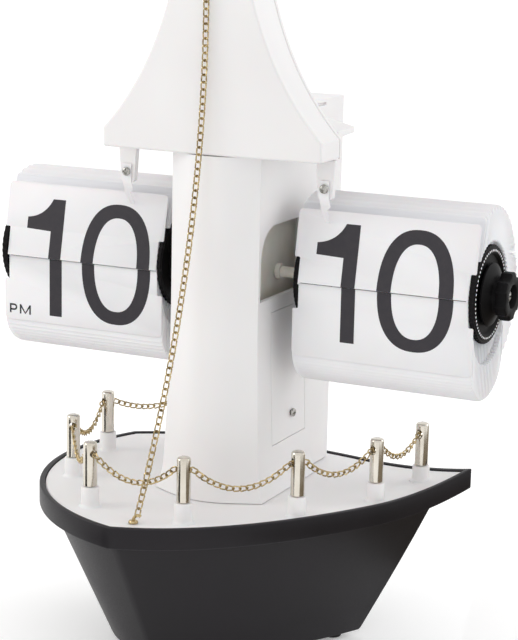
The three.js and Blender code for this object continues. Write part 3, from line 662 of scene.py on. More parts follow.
def deck():
    edge_round = 0.35
    edge = drawn_in(outline, rim_width + fit_gap)
    soft = drawn_in(outline, rim_width + fit_gap + edge_round)
    count = len(outline)
    rings = [[boat(u, v, sheer(u) - deck_thickness) for u, v in edge],
             [boat(u, v, sheer(u) - edge_round) for u, v in edge],
             [boat(u, v, sheer(u)) for u, v in soft]]
    bm = rings_to_bmesh(rings, caps=False, closed=False)
    bm.verts.ensure_lookup_table()
    for start in (0, 2 * count):
        for i in range(count // 2):
            across = (i, i + 1, (count - i - 1) % count, (count - i) % count)
            bm.faces.new([bm.verts[start + k] for k in dict.fromkeys(across)])
    pieces = [to_object("deck", bm, white_abs, 40)]
    top = deck_height + seat_height
    for name, (u, v) in post_marks.items():
        floor = sheer(u) - 1.0
        profile = [(0.0, floor), (seat_radius + 1.2, floor), (seat_radius + 1.2, floor + 1.0),
                   (seat_radius + 0.5, floor + 1.25), (seat_radius + 0.12, floor + 1.7),
                   (seat_radius, floor + 2.4), (seat_radius, top - 0.5), (seat_radius - 0.15, top - 0.15),
                   (seat_radius - 0.5, top), (0.0, top)]
        pieces.append(turned("seat_" + name, profile, stands(u, v), white_abs, 40, 40))
    return merged("deck_plate", pieces)


hand_over(deck(), "body", "white_plastic", "deck")

# %% [markdown]
# From here on many pieces repeat: posts, chain links, leaves, feet. One Geometry Nodes tree sets
# a given piece on every point of a mesh, turned and sized by attributes that the point carries. It ends
# with Realize Instances and Set Material, so that the result is one plain mesh.

# %% Tree: set a piece on marks
def group_with(name, sockets):
    """A new tree with the named inputs, and each input's identifier by its name."""
    tree = bpy.data.node_groups.new(name, "GeometryNodeTree")
    tree.interface.new_socket("Geometry", in_out="INPUT", socket_type="NodeSocketGeometry")
    made = {}
    for label, kind in sockets:
        made[label] = tree.interface.new_socket(label, in_out="INPUT", socket_type=kind).identifier
    tree.interface.new_socket("Geometry", in_out="OUTPUT", socket_type="NodeSocketGeometry")
    start = node(tree, "NodeGroupInput")
    return tree, start, made


def realized(tree, placed, finish):
    """Ends a tree: makes the copies real, sets their material and gives them out."""
    real = node(tree, "GeometryNodeRealizeInstances", {"Geometry": placed.outputs["Instances"]})
    dressed = node(tree, "GeometryNodeSetMaterial", {"Geometry": real.outputs["Geometry"],
                                                     "Material": finish})
    node(tree, "NodeGroupOutput", {"Geometry": dressed.outputs["Geometry"]})


def piece_on_marks():
    tree, start, sockets = group_with("piece_on_marks", [("Piece", "NodeSocketObject"),
                                                         ("Finish", "NodeSocketMaterial")])
    piece = node(tree, "GeometryNodeObjectInfo", {"Object": start.outputs["Piece"]})
    turn = node(tree, "GeometryNodeInputNamedAttribute", {"Name": "turn"}, data_type="FLOAT_VECTOR")
    spin = node(tree, "FunctionNodeEulerToRotation", {0: turn.outputs["Attribute"]})
    size = node(tree, "GeometryNodeInputNamedAttribute", {"Name": "size"}, data_type="FLOAT_VECTOR")
    placed = node(tree, "GeometryNodeInstanceOnPoints", {"Points": start.outputs["Geometry"],
                  "Instance": piece.outputs["Geometry"], "Rotation": spin.outputs["Rotation"],
                  "Scale": size.outputs["Attribute"]})
    realized(tree, placed, start.outputs["Finish"])
    return tree, sockets


marks_tree, marks_sockets = piece_on_marks()


def on_marks(name, pattern, marks, material, crease=35, sizes=None):
    """Sets the pattern object on (point, (rx, ry, rz)) marks and returns one plain mesh object."""
    mesh = bpy.data.meshes.new(name)
    mesh.from_pydata([tuple(point) for point, turn in marks], [], [])
    turns = [turn for point, turn in marks]
    for label, values in (("turn", turns), ("size", sizes or [(1, 1, 1)] * len(marks))):
        attribute = mesh.attributes.new(label, "FLOAT_VECTOR", "POINT")
        attribute.data.foreach_set("vector", [c for value in values for c in value])
    made = linked(name, mesh)
    repeat = made.modifiers.new("repeat", "NODES")
    repeat.node_group = marks_tree
    repeat[marks_sockets["Piece"]] = pattern
    repeat[marks_sockets["Finish"]] = material
    settle(made)
    bpy.data.objects.remove(pattern)
    made.data.shade_smooth()
    made.data.set_sharp_from_angle(angle=math.radians(crease))
    print(name, len(marks), "copies,", len(made.data.polygons), "faces")
    return made


# %% [markdown]
# A rail post is a turned pin with a rounded top, plated in warm chrome, with a cross hole near the top
# for the chain. The hole is drilled once in a pattern post that stands at the origin. Each copy is then
# turned about its own axis so that its hole looks along the rail.

# %% Rail posts
post_radius, post_height = 2.9, 18.8
hole_radius, hole_drop = 1.75, 4.7
post_base = deck_height + seat_height + fit_gap
post_order = list(post_marks.values())


def rail_direction(i):
    """Which way the rail runs at post i, as an angle on the boat."""
    before = post_order[max(0, i - 1)]
    after = post_order[min(len(post_order) - 1, i + 1)]
    return math.atan2(after[1] - before[1], after[0] - before[0])


def plain(x, y, z):
    """A point given in millimetres from the origin, for a pattern that a tree will place."""
    return Vector((x, y, z)) * MM


def upright(length, a, b):
    return plain(a, b, length)


def pattern_post():
    r, h = post_radius, post_height
    profile = [(0.0, 0.0), (r - 0.2, 0.0), (r, 0.2), (r, h - 1.1), (r - 0.12, h - 0.6), (r - 0.42, h - 0.2),
               (r - 0.95, h), (0.0, h)]
    body = turned("post", profile, upright, chrome, 48, 40)

    def through(length, a, b):
        return plain(length, a, h - hole_drop + b)

    drill = rod("drill", hole_radius, -6.0, 6.0, through, chrome, 28)
    sink = turned("sink", [(0.0, r - 0.55), (hole_radius, r - 0.55), (hole_radius + 1.0, r + 0.6),
                           (0.0, r + 0.6)], through, chrome, 28)
    return cut_away(body, drill, sink)


marks = [(boat(u, v, post_base), (0, 0, hull_turn + rail_direction(i)))
         for i, (u, v) in enumerate(post_order)]
posts = on_marks("rail_posts", pattern_post(), marks, chrome, 40)
hand_over(posts, "body", "chrome_plate", *["post_" + name for name in post_marks])

# %% [markdown]
# The rail chain is a fine curb chain: every link is an oval ring of wire, twisted by a right angle from
# end to end, so that it grips its neighbours crosswise while the whole chain lies flat and shows every
# link from its broad side. A chain hangs in a parabola between two posts and runs straight through
# each hole. A second tree sets the links along any curve, one pitch apart: it turns each link's
# length along the curve, then its width towards a given direction, and lets it roll a little at random.

# %% Tree: links along a path
def links_on_path():
    tree, start, sockets = group_with("links_on_path", [("Link", "NodeSocketObject"),
                                                        ("Pitch", "NodeSocketFloat"),
                                                        ("Across", "NodeSocketVector"),
                                                        ("Looseness", "NodeSocketFloat"),
                                                        ("Finish", "NodeSocketMaterial")])
    spots = node(tree, "GeometryNodeCurveToPoints", {"Curve": start.outputs["Geometry"],
                                                     "Length": start.outputs["Pitch"]}, mode="LENGTH")
    along = node(tree, "FunctionNodeAlignRotationToVector", {"Vector": spots.outputs["Tangent"]}, axis="Z")
    faced = node(tree, "FunctionNodeAlignRotationToVector", {"Rotation": along.outputs["Rotation"],
                 "Vector": start.outputs["Across"]}, axis="X", pivot_axis="Z")
    chance = node(tree, "FunctionNodeRandomValue", {2: -1.0, 3: 1.0, "Seed": 7}, data_type="FLOAT")
    angle = node(tree, "ShaderNodeMath", {0: chance.outputs[1], 1: start.outputs["Looseness"]},
                 operation="MULTIPLY")
    roll = node(tree, "FunctionNodeAxisAngleToRotation", {"Axis": (0, 0, 1),
                                                          "Angle": angle.outputs["Value"]})
    turn = node(tree, "FunctionNodeRotateRotation", {"Rotation": faced.outputs["Rotation"],
                "Rotate By": roll.outputs["Rotation"]}, rotation_space="LOCAL")
    link = node(tree, "GeometryNodeObjectInfo", {"Object": start.outputs["Link"]})
    placed = node(tree, "GeometryNodeInstanceOnPoints", {"Points": spots.outputs["Points"],
                  "Instance": link.outputs["Geometry"], "Rotation": turn.outputs["Rotation"]})
    realized(tree, placed, start.outputs["Finish"])
    return tree, sockets


path_tree, path_sockets = links_on_path()
link_length, link_width, link_wire = 4.25, 2.75, 0.66


def pattern_link(twist=math.radians(45), steps=18, sides=6):
    """An oval ring of round wire, its ends turned against each other by twice the twist."""
    end = (link_width - link_wire) / 2
    straight = (link_length - link_width) / 2
    crosswise = Vector((0, 1, 0))
    loops = []
    for i in range(steps):
        angle = 2 * math.pi * i / steps
        outward = Vector((math.sin(angle), 0, math.cos(angle)))
        lift = straight if math.cos(angle) > 0 else -straight
        middle = Vector((end * math.sin(angle), 0, end * math.cos(angle) + lift))
        ring = []
        for j in range(sides):
            around = 2 * math.pi * j / sides
            p = middle + (outward * math.cos(around) + crosswise * math.sin(around)) * link_wire / 2
            lean = twist * p.z / (link_length / 2)
            ring.append(plain(p.x * math.cos(lean) - p.y * math.sin(lean),
                              p.x * math.sin(lean) + p.y * math.cos(lean), p.z))
        loops.append(ring)
    return to_object("link", rings_to_bmesh(loops, caps=False), gold, 60)


def chain(name, points, across, pitch=link_length - 2 * link_wire - 0.02):
    """A chain of links along a smooth path of points, its width turned towards across."""
    curve = bpy.data.curves.new(name, "CURVE")
    curve.dimensions = "3D"
    spline = curve.splines.new("POLY")
    spline.points.add(len(points) - 1)
    for spot, point in zip(spline.points, points):
        spot.co = (*point, 1)
    path = linked(name + "_path", curve)
    link = pattern_link()
    repeat = path.modifiers.new("links", "NODES")
    repeat.node_group = path_tree
    for label, value in (("Link", link), ("Pitch", pitch * MM), ("Across", across),
                         ("Looseness", math.radians(12)), ("Finish", gold)):
        repeat[path_sockets[label]] = value
    mesh = evaluated_mesh(path)
    for used in (path, link):
        bpy.data.objects.remove(used)
    mesh.shade_smooth()
    made = linked(name, mesh)
    route = sum((b - a).length for a, b in zip(points, points[1:])) / MM
    print(name, len(mesh.polygons), "faces along", round(route, 1), "mm")
    return made


# %% Rail chain on its route
rail_sag, last_sag = 0.23, 0.12


def swag(start, end, sag, steps=24):
    """A hanging line between two points, its middle lower by the sag."""
    points = []
    for i in range(steps + 1):
        t = i / steps
        point = start.lerp(end, t)
        point.z -= 4 * sag * t * (1 - t)
        points.append(point)
    return points


def rail_route():
    hole_height = deck_height + seat_height + post_height - hole_drop
    reach = post_radius + 0.6
    ends = []
    for i, (u, v) in enumerate(post_order):
        along = rail_direction(i)
        c, s = math.cos(along) * reach, math.sin(along) * reach
        ends.append((boat(u - c, v - s, hole_height), boat(u + c, v + s, hole_height)))
    route = [ends[0][0].lerp(ends[0][1], 0.5)]
    for i in range(len(ends) - 1):
        start, end = ends[i][1], ends[i + 1][0]
        sag = (last_sag if i == len(ends) - 2 else rail_sag) * (end - start).length
        route += swag(start, end, sag)
    route.append(ends[-1][0].lerp(ends[-1][1], 0.5))
    return route


rail_chain = chain("rail_chain_links", rail_route(), (0, 0, 1))
hand_over(rail_chain, "body", "gold_plate", "rail_chain")

# %% [markdown]
# The tower that carries the drums is a white shell with flat sides and a nosed front: two flat flanks
# that meet in a wide rounded tip, flush with the sail above. It widens slowly towards the deck and ends
# in a small fillet. Such a shape is a loft, one ring of points at each height. The window in its side
# has a round upper front corner, and the lower side cover is a separate plate, so both are cut out of
# the finished loft.

# %% Tower shell and side cover
tower_half, foot_flare, flare_top = 20.3, 3.0, 152.0
foot_fillet, fillet_height = 2.2, 12.0
tower_front, tower_rear, tower_wall = -30.0, 21.0, 2.2
sail_front, sail_ridge = -36.5, 2.5
nose_reach, nose_round = tower_front - (sail_front - sail_ridge), 0.57
sail_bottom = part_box("sail_shell")[0][2] / MM
cover_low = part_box("side_cover")[0][2] / MM - fit_gap
cover_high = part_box("side_cover")[1][2] / MM + fit_gap
cover_front, cover_rear = -17.0, 17.0
screw_y, screw_z = 3.0, cover_low + 10.5


def nose(share):
    """How far the front stands out at a share of the half width: flat flanks, rounded tip."""
    slope = nose_reach / (1 - nose_round / 2)
    flank = slope * (1 - max(share, nose_round))
    return flank + (slope * (nose_round ** 2 - share ** 2) / (2 * nose_round) if share < nose_round else 0)


def tower_flare(z):
    """How much wider the tower is at z: a slow flare and the fillet at its foot."""
    t = max(0.0, (flare_top - z) / (flare_top - deck_height))
    fillet = max(0.0, 1 - (z - deck_height) / fillet_height)
    return foot_flare * t ** 1.6 + foot_fillet * fillet ** 2


def tower_ring(z, wall, arc=40, side_steps=6):
    """The tower's section at z, drawn in by the wall where it is the inside."""
    flare = tower_flare(z)
    half = tower_half + flare - wall
    front = tower_front - flare * 0.5 + wall
    depth = tower_rear - wall - front
    shares = [2 * i / arc - 1 for i in range(arc + 1)]
    points = [at(half * share, front - nose(abs(share)), z) for share in shares]
    points += [at(half, front + depth * k / side_steps, z) for k in range(1, side_steps + 1)]
    points += [at(-half, front + depth * k / side_steps, z) for k in range(side_steps, 0, -1)]
    return points


def tower_loft(wall, low_z, high_z, steps=22, fillet_steps=8):
    levels = [low_z + fillet_height * i / fillet_steps for i in range(fillet_steps)]
    start = low_z + fillet_height
    levels += [start + (high_z - start) * i / steps for i in range(steps + 1)]
    return to_object("tower", rings_to_bmesh([tower_ring(z, wall) for z in levels]), white_abs, 30)


def window_knife(steps=12):
    """The window through both sides, its upper front corner round."""
    front, rear, corner = tower_front + 2, tower_rear - 6, 14.0
    low_z, high_z = axle_height - 8.5, axle_height + 22.5
    shape = [(rear, low_z), (rear, high_z)]
    for i in range(steps + 1):
        angle = math.pi / 2 * (1 - i / steps)
        shape.append((front + corner - corner * math.cos(angle),
                      high_z - corner + corner * math.sin(angle)))
    shape.append((front, low_z))
    return to_object("window", prism(shape, along_x, -45, 45), white_abs)


def cover_knife(gap, inner=tower_half - tower_wall - 3):
    return block("cover_knife", inner, 45, cover_front + gap, cover_rear - gap, cover_low + gap,
                 cover_high - gap, white_abs, 0)


def hollow_tower():
    low_z, high_z = deck_height + fit_gap, sail_bottom - fit_gap
    outside = tower_loft(0, low_z, high_z)
    return cut_away(outside, tower_loft(tower_wall, low_z - 1, high_z + 1), window_knife())


def sideways(y, z):
    """Places a turned shape so that its length runs along the drum axle."""
    return lambda length, a, b: at(length, y + a, z + b)


def side_cover():
    """What the cover's knife and the tower's wall have in common, with a hole for its screw."""
    cover = cut_away(hollow_tower(), cover_knife(fit_gap), operation="INTERSECT")
    cover.name = "side_cover_plate"
    return cut_away(cover, rod("hole", 1.3, 0.0, 40.0, sideways(screw_y, screw_z), white_abs, 24))


tower = cut_away(hollow_tower(), cover_knife(0))
hand_over(tower, "body", "white_plastic", "tower_shell")
hand_over(side_cover(), "body", "white_plastic", "side_cover")

# %% [markdown]
# Screws show in a few places: on the side cover, on the strips' brackets and in the knob. A screw head
# is a turned shape with a recess. It is drawn as a profile along an axis, and a bar cuts the knob
# screw's slot, or two crossed bars the cross recess of the others.

# %% Screws
def screw(name, head_radius, head_height, shank, place, crosswise=True):
    """A pan head screw; place(length, a, b) puts it, length pointing out of the head."""
    r, h = head_radius, head_height
    profile = [(0.0, -shank), (r * 0.45, -shank), (r * 0.45, 0.0), (r, 0.0), (r, h * 0.35),
               (r * 0.93, h * 0.62), (r * 0.75, h * 0.86), (r * 0.45, h), (0.0, h)]
    made = turned(name, profile, place, zinc, 36, 50)
    bars = [(r * 0.72, r * 0.13), (r * 0.13, r * 0.72)] if crosswise else [(r * 1.2, r * 0.12)]
    knives = []
    for long_a, long_b in bars:
        square = [(-long_a, -long_b), (long_a, -long_b), (long_a, long_b), (-long_a, long_b)]
        bar = [[place(level, a, b) for a, b in square] for level in (h * 0.35, h + 1)]
        knives.append(to_object("bar", rings_to_bmesh(bar), zinc))
    return cut_away(made, *knives)


def on_cover(length, a, b):
    return at(tower_half + tower_flare(screw_z) + 0.7 + length, screw_y + a, screw_z + b)


cover_screw = screw("side_cover_screw", 1.9, 1.1, 5.0, on_cover)
hand_over(cover_screw, "body", "steel", "cover_screw")

# %% [markdown]
# Behind the tower stands a plain column with a deeper block at its top. It closes the back, and the
# web under the sail reaches it. It is one stepped profile drawn from side to side, with rounded edges,
# a fine slot near the top of its side and vent slots in its rear face.

# %% Back column
column_half, column_depth, block_depth, block_height = 20.0, 26, 33.5, 48.5
vent_count, vent_pitch, vent_height, vent_start = 5, 7, 2.4, 49


def back_column():
    front, foot = tower_rear + fit_gap, deck_height + fit_gap
    rear, block_rear = front + column_depth, front + block_depth
    half, top = column_half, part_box("back_column")[1][2] / MM
    block_low = top - block_height
    profile = [(front, foot), (rear, foot), (rear, block_low), (block_rear, block_low), (block_rear, top),
               (front, top)]
    made = to_object("column", prism(profile, along_x, -half, half), white_abs, 35)
    knives = [block("slot", half - 1.5, half + 1, front + 4, front + 14, top - 3, top - 1.8, white_abs, 0)]
    for i in range(vent_count):
        z = deck_height + vent_start + i * vent_pitch
        knives.append(block("vent", -12, 12, rear - 3, rear + 1, z, z + vent_height, white_abs, 0))
    return settle(round_edges(cut_away(made, *knives), 0.7, 3, 40))


hand_over(back_column(), "body", "white_plastic", "back_column")

# %% [markdown]
# The sail is a hollow shell. Its front has one shallow ridge down the middle, which makes one half
# catch the light and the other fall into shade. The sides sweep in along an exponential curve to a
# narrow head. Its outline is computed from that formula and then given thickness and soft corners.

# %% Sail
sail_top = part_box("sail_shell")[1][2] / MM
sail_half, sail_head, sail_taper, corner_height = 50.0, 6.0, 45.7, 8.0
sail_depth, sail_wall = 18.0, 2.2


def sail_edge(margin, steps=40):
    """Right-hand edge of the sail from its foot to its head, as (half width, height)."""
    corner = sail_bottom + corner_height
    top = sail_top - margin
    points = [(sail_half - margin, sail_bottom + margin)]
    for i in range(steps + 1):
        z = corner + (top - corner) * i / steps
        half = sail_head + (sail_half - sail_head) * math.exp((corner - z) / sail_taper)
        points.append((half - margin, z))
    return points


def sail_solid(margin, back_y, name="sail"):
    """A solid sail, its outline and its front drawn in by the margin."""
    edge = sail_edge(margin)
    bm = bmesh.new()

    def ridge(x):
        return sail_front + margin - sail_ridge * (1 - abs(x) / (sail_half + 10))

    for side in (1, -1):
        middle = [(0.0, edge[0][1]), (0.0, edge[-1][1])]
        loop = [middle[0]] + [(side * x, z) for x, z in edge] + [middle[1]]
        faces = []
        for near in (True, False):
            faces.append([bm.verts.new(at(x, ridge(x) if near else back_y, z)) for x, z in loop])
            bm.faces.new(faces[-1])
        for i in range(len(loop) - 1):
            bm.faces.new((faces[0][i], faces[0][i + 1], faces[1][i + 1], faces[1][i]))
    return to_object(name, bm, white_abs, 30)


sail_back_y = sail_front + sail_depth
sail = cut_away(sail_solid(0, sail_back_y), sail_solid(sail_wall, sail_back_y + 1, "sail_hollow"))
settle(round_edges(sail, 1.5, 4, 50), "sail_front_shell")
hand_over(sail, "body", "white_plastic", "sail_shell")


def sail_plate():
    edge = sail_edge(0)
    loop = edge + [(-x, z) for x, z in reversed(edge)]
    near = sail_back_y + fit_gap
    return to_object("sail_plate", prism(loop, along_y, near, near + sail_wall), white_abs, 40, 0.5, 2)


hand_over(sail_plate(), "body", "white_plastic", "sail_back")


def sail_web():
    """The level plate between the sail and the column, cut out round the column."""
    front = sail_back_y + sail_wall + 2 * fit_gap
    rear, tail, side = tower_rear, tower_rear + 5, tower_half
    level, thickness = sail_bottom + 8, 2.7
    loop = [(-48, front), (48, front), (45, 8), (28, tail), (side, tail), (side, rear),
            (-side, rear), (-side, tail), (-28, tail), (-45, 8)]
    rings = [[at(x, y, z) for x, y in loop] for z in (level, level + thickness)]
    plate = to_object("web", rings_to_bmesh(rings), white_abs, 35, 0.5, 2)
    foot = block("web_foot", -16, 16, front, rear, sail_bottom, level + 1, white_abs, 0.6)
    return merged("sail_web", [plate, foot])


hand_over(sail_web(), "body", "white_plastic", "sail_shelf")

# %% [markdown]
# The drums hang their leaves in the open air. A white bracket under each end of the sail holds a bent
# strip that keeps the standing leaf back until its moment comes. The bracket is a small plate with
# a hole, and the strip is a bent sheet: a row of thin sections along its path, which narrow and step
# aside below the bracket.

# %% Brackets and strips
bracket_x, bracket_front = 45.8, -22.9
bracket_low = sail_bottom - 16.5
strip_screw_z = bracket_low + 4.7
front_hinge, low_hinge, hinge_radius = -19.6, -18.6, 18.0
upper_lean = math.radians(11)
leaf_thickness, strip_thickness, strip_half = 0.4, 0.4, 2.1
finger_half, finger_step, toe_taper = 1.3, -1.5, 0.55
touch_height = 25.5


def toward_viewer(x, z, start=0.0):
    """Places a turned shape so that its length points to the side that shows the time."""
    return lambda length, a, b: at(x + a, start - length, z + b)


def strip_hole(x, material):
    return rod("hole", 1.1, 15.0, 30.0, toward_viewer(x, strip_screw_z), material, 20)


def bracket(x):
    top, half, corner = sail_bottom - fit_gap, 3.3, 1
    tab = [(x - half, bracket_low + corner), (x - half + corner, bracket_low),
           (x + half - corner, bracket_low), (x + half, bracket_low + corner),
           (x + half + 1, top), (x - half - 1, top)]
    made = to_object("bracket", prism(tab, along_y, bracket_front, bracket_front + 3), white_abs, 35)
    return settle(round_edges(cut_away(made, strip_hole(x, white_abs)), 0.35, 2, 40))


def bent(start, bend, end, t):
    """The point at t, from 0 to 1, on a curve from start to end that leans towards bend."""
    return tuple((1 - t) ** 2 * start[k] + 2 * t * (1 - t) * bend[k] + t * t * end[k] for k in (0, 1))


def strip_line(steps=8):
    """The strip's path, seen from the side, as (y, z)."""
    clear = fit_gap + strip_thickness / 2
    back = bracket_front - clear
    touch_y = front_hinge + touch_height * math.tan(upper_lean) - leaf_thickness / 2 - clear
    start, bend = (back, bracket_low + 2.0), (back, bracket_low - 0.5)
    toe = (touch_y, axle_height + touch_height)
    soft = part_way(bend, toe, 0.28)
    points = [(back, strip_screw_z + 3.3), start]
    points += [bent(start, bend, soft, i / steps) for i in range(steps + 1)]
    return points + [part_way(soft, toe, share) for share in (0.2, 0.35, 0.5, 0.8, 1.0)]


def thickened(points, thickness):
    """Closed outline of a line of (a, b) points given a thickness."""
    left, right = [], []
    for i, (a, b) in enumerate(points):
        before, after = points[max(0, i - 1)], points[min(len(points) - 1, i + 1)]
        across = Vector((before[1] - after[1], after[0] - before[0])).normalized() * thickness / 2
        left.append((a + across.x, b + across.y))
        right.append((a - across.x, b - across.y))
    return left + right[::-1]


def strip(x):
    """The strip, which narrows to a finger and steps aside below the bracket."""
    line, thick = strip_line(), strip_thickness / 2
    toe_z, narrow_from = line[-1][1], bracket_low - 3.0
    rings = []
    for y, z in line:
        low_share = max(0.0, min(1.0, (narrow_from - z) / 1.5))
        toe_share = max(0.0, min(1.0, (toe_z + 2.5 - z) / 2.5))
        half = strip_half + (finger_half - strip_half) * low_share - toe_taper * toe_share
        middle = x + finger_step * low_share
        rings.append([at(middle + across, y + depth, z) for across, depth in
                      ((-half, -thick), (half, -thick), (half, thick), (-half, thick))])
    made = to_object("strip", rings_to_bmesh(rings), leaf_sheet, 25)
    return cut_away(made, strip_hole(x, leaf_sheet))


for side, label in ((-1, "hour"), (1, "minute")):
    x = side * bracket_x
    tab = bracket(x)
    tab.name = label + "_bracket_tab"
    hand_over(tab, "body", "white_plastic", label + "_bracket")
    held = strip(x)
    held.name = label + "_strip"
    hand_over(held, "body", "leaf_plastic", label + "_retaining_strip")
    head_seat = bracket_front - strip_thickness - 2 * fit_gap
    fixed = screw(label + "_strip_fixing", 1.9, 1.0, 5.0, toward_viewer(x, strip_screw_z, head_seat))
    hand_over(fixed, "body", "steel", label + "_strip_screw")

# %% [markdown]
# A flip leaf is a thin card whose hinge end is narrowed at both sides, so that it clears the two end
# discs. A leaf is described by its hinge line and its tilt from upright, and one function turns a
# point on the card into a point in space. The two drums stand at different moments between two
# clicks, so the hour's split is a little lower than the minute's.

# %% Leaf outline and its place
leaf_inner, leaf_outer, notch_inner, notch_outer = 30.8, 110.2, 33.25, 107.9
leaf_length, pack_notch = 31.0, 13.2
leaf_foot, layer_thickness, layer_corner = 4.0, 0.38, 1.6
pivot_radius, pivot_inner, pivot_outer, pivot_hold = 0.5, 31.6, 110.5, 0.8
split_height = {"hour": -1.95, "minute": 0.0}


def card(notch, corner, edge, ear=0.8):
    """The leaf's outline as (x, s), s measured from the hinge; edge is where the card itself begins."""
    foot, nick = min(edge, -0.5), 0.4
    if edge > foot:
        points = [(notch_inner, foot), (notch_inner + ear, foot), (notch_inner + ear, edge),
                  (notch_outer - ear, edge), (notch_outer - ear, foot), (notch_outer, foot)]
    else:
        points = [(notch_inner, edge), (notch_outer, edge)]
    points += [(notch_outer, notch - nick), (notch_outer + nick, notch), (leaf_outer - nick, notch),
               (leaf_outer, notch + nick)]
    for centre, quarter in ((leaf_outer - corner, 0), (leaf_inner + corner, 1)):
        for i in range(6):
            angle = math.pi / 2 * (quarter + i / 5)
            points.append((centre + corner * math.cos(angle),
                           leaf_length - corner + corner * math.sin(angle)))
    points += [(leaf_inner, notch + nick), (leaf_inner + nick, notch), (notch_inner - nick, notch),
               (notch_inner, notch - nick)]
    return points


def on_leaf(hinge_y, hinge_z, tilt):
    """Turns a point on a leaf, along it and through it, into a point in space."""
    def place(x, s, depth):
        y = depth * math.cos(tilt) + s * math.sin(tilt)
        z = s * math.cos(tilt) - depth * math.sin(tilt)
        return at(x, hinge_y + y, axle_height + hinge_z + z)
    return place


def leaf_solid(name, side, place, notch, edge, corner=2.0, thickness=leaf_thickness):
    """A card with softened edges; side is 1 on the minute's side and -1 on the hour's."""
    half, soft = thickness / 2, 0.1
    shape = card(notch, corner, edge)
    small = drawn_in(shape, soft)
    levels = [(small, -half), (shape, -half + soft), (shape, half - soft), (small, half)]
    rings = [[place(side * x, s, depth) for x, s in points] for points, depth in levels]
    return to_object(name, rings_to_bmesh(rings), leaf_sheet, 50)


waiting = on_leaf(front_hinge, 0, upper_lean)
fallen = on_leaf(low_hinge, 0, math.pi)
# Which way each drum lies from the mast, and how many leaves are drawn round it
sides = {"hour": (-1, 48), "minute": (1, 60)}
front_notch, split_gap = 10.9, 0.2
for label, (side, count) in sides.items():
    split = split_height[label]
    upper = leaf_solid(label + "_standing_leaf", side, waiting, front_notch, split + split_gap)
    hand_over(upper, label + "_leaf", "leaf_plastic", label + "_upper_leaf")
    lower = leaf_solid(label + "_hanging_leaf", side, fallen, front_notch - split, split_gap - split)
    hand_over(lower, "body", "leaf_plastic", label + "_lower_leaf")

# %% [markdown]
# The rest of the leaves wait behind the standing one or hang behind the fallen one. The upper ones lean
# back further and further round the drum, and the lower ones all hang straight down. That is a rule,
# so the Geometry Nodes tree sets one pattern leaf on each hinge. A leaf is made of layers of thin sheet
# that part a little at the free edge, and has two small pivots, which turn in the end discs. The
# leaves at the bottom hang into a shallow curve, so their marks also carry a slightly smaller size.

# %% Waiting and fallen leaves
def leaf_hinges(count):
    """Hinge place, tilt and length of each leaf of the pack."""
    step = 2 * math.pi / count
    hinges = []
    for i in range(count - 2):
        place = i + 1.5
        angle = (place - (count if place > count / 2 else 0)) * step
        if angle < 0:
            tilt, length = math.pi, leaf_length + 4.5 * math.sin(angle)
        else:
            tilt = angle + upper_lean * math.exp(-angle / math.radians(25))
            length = leaf_length + (1.5 * math.sin(2 * angle) if angle < math.pi / 2 else 0)
        hinges.append((-hinge_radius * math.cos(angle), hinge_radius * math.sin(angle), tilt, length))
    return hinges


def pivots(side):
    """The short pins at both ends of a leaf, which turn in the end discs."""
    r, soft = pivot_radius, 0.05
    pins = []
    for start, end in ((pivot_inner, notch_inner + pivot_hold), (notch_outer - pivot_hold, pivot_outer)):
        profile = [(0.0, start), (r - soft, start), (r, start + 0.2), (r, end - 0.2), (r - soft, end),
                   (0.0, end)]
        pins.append(turned("pivot", profile, lambda length, a, b: plain(side * length, a, b), leaf_sheet, 8))
    return pins


def parted(turn):
    """Places a layer that parts from the first by a small turn about the hinge."""
    def place(x, s, depth):
        c, sine = math.cos(turn), math.sin(turn)
        return plain(x, depth * c + s * sine, s * c - depth * sine)
    return place


def pattern_leaf(side, turns):
    """Thin layers, each at its small turn from the first, and the pivots."""
    layers = [leaf_solid("layer", side, parted(turn), pack_notch, leaf_foot, layer_corner, layer_thickness)
              for turn in turns]
    return merged("pattern_leaf", layers + pivots(side))


def waiting_leaves(label, side, count, layer_count=5, hanging_part=-0.15):
    """All but the two front leaves, the pivots of those two, and the next leaf, which is printed."""
    hinges, step = leaf_hinges(count), 2 * math.pi / count
    fan = [step * layer / layer_count for layer in range(layer_count)]
    parts = []
    for hanging, turns in ((False, fan), (True, (0.0, step * hanging_part))):
        chosen = [hinge for hinge in hinges if (hinge[2] == math.pi) == hanging]
        marks = [(at(0, y, axle_height + z), (-tilt, 0, 0)) for y, z, tilt, length in chosen]
        sizes = [(1, 1, length / leaf_length) for y, z, tilt, length in chosen]
        parts.append(on_marks(label + "_half", pattern_leaf(side, turns), marks, leaf_sheet, 35, sizes))
    fronts = []
    for angle in (-step / 2, step / 2):
        y, z = -hinge_radius * math.cos(angle), hinge_radius * math.sin(angle)
        fronts.append((at(0, y, axle_height + z), (0, 0, 0)))
    pins = merged("pattern_pivots", pivots(side))
    parts.append(on_marks(label + "_front_pivots", pins, fronts, leaf_sheet))
    hinge_y, hinge_z, tilt, length = hinges[0]
    parts.append(leaf_solid("next_leaf", side, on_leaf(hinge_y, hinge_z, tilt), pack_notch, -0.5))
    return merged(label + "_waiting_leaves", parts)


for label, (side, count) in sides.items():
    hand_over(waiting_leaves(label, side, count), "body", "leaf_plastic", label + "_leaf_pack")

# %% [markdown]
# The figures are screen-printed across the split: the upper half of each is on one leaf and the lower
# half on the next. Print has a small but real thickness, so each half is a very thin solid on its
# leaf. A one is a polygon with a curved flag, and a nought is the space between two superellipses.

# %% Figures
figure_half, ink_gap, ink_depth = 25.25, 0.22, 0.06
figure_top = {"hour": 24.0, "minute": 25.7}
figure_foot = {"hour": -27.5, "minute": -23.1}
stem_width, flag_reach = 6.2, 12.2
side_stroke, end_stroke, overshoot = 6.2, 5.7, 0.4


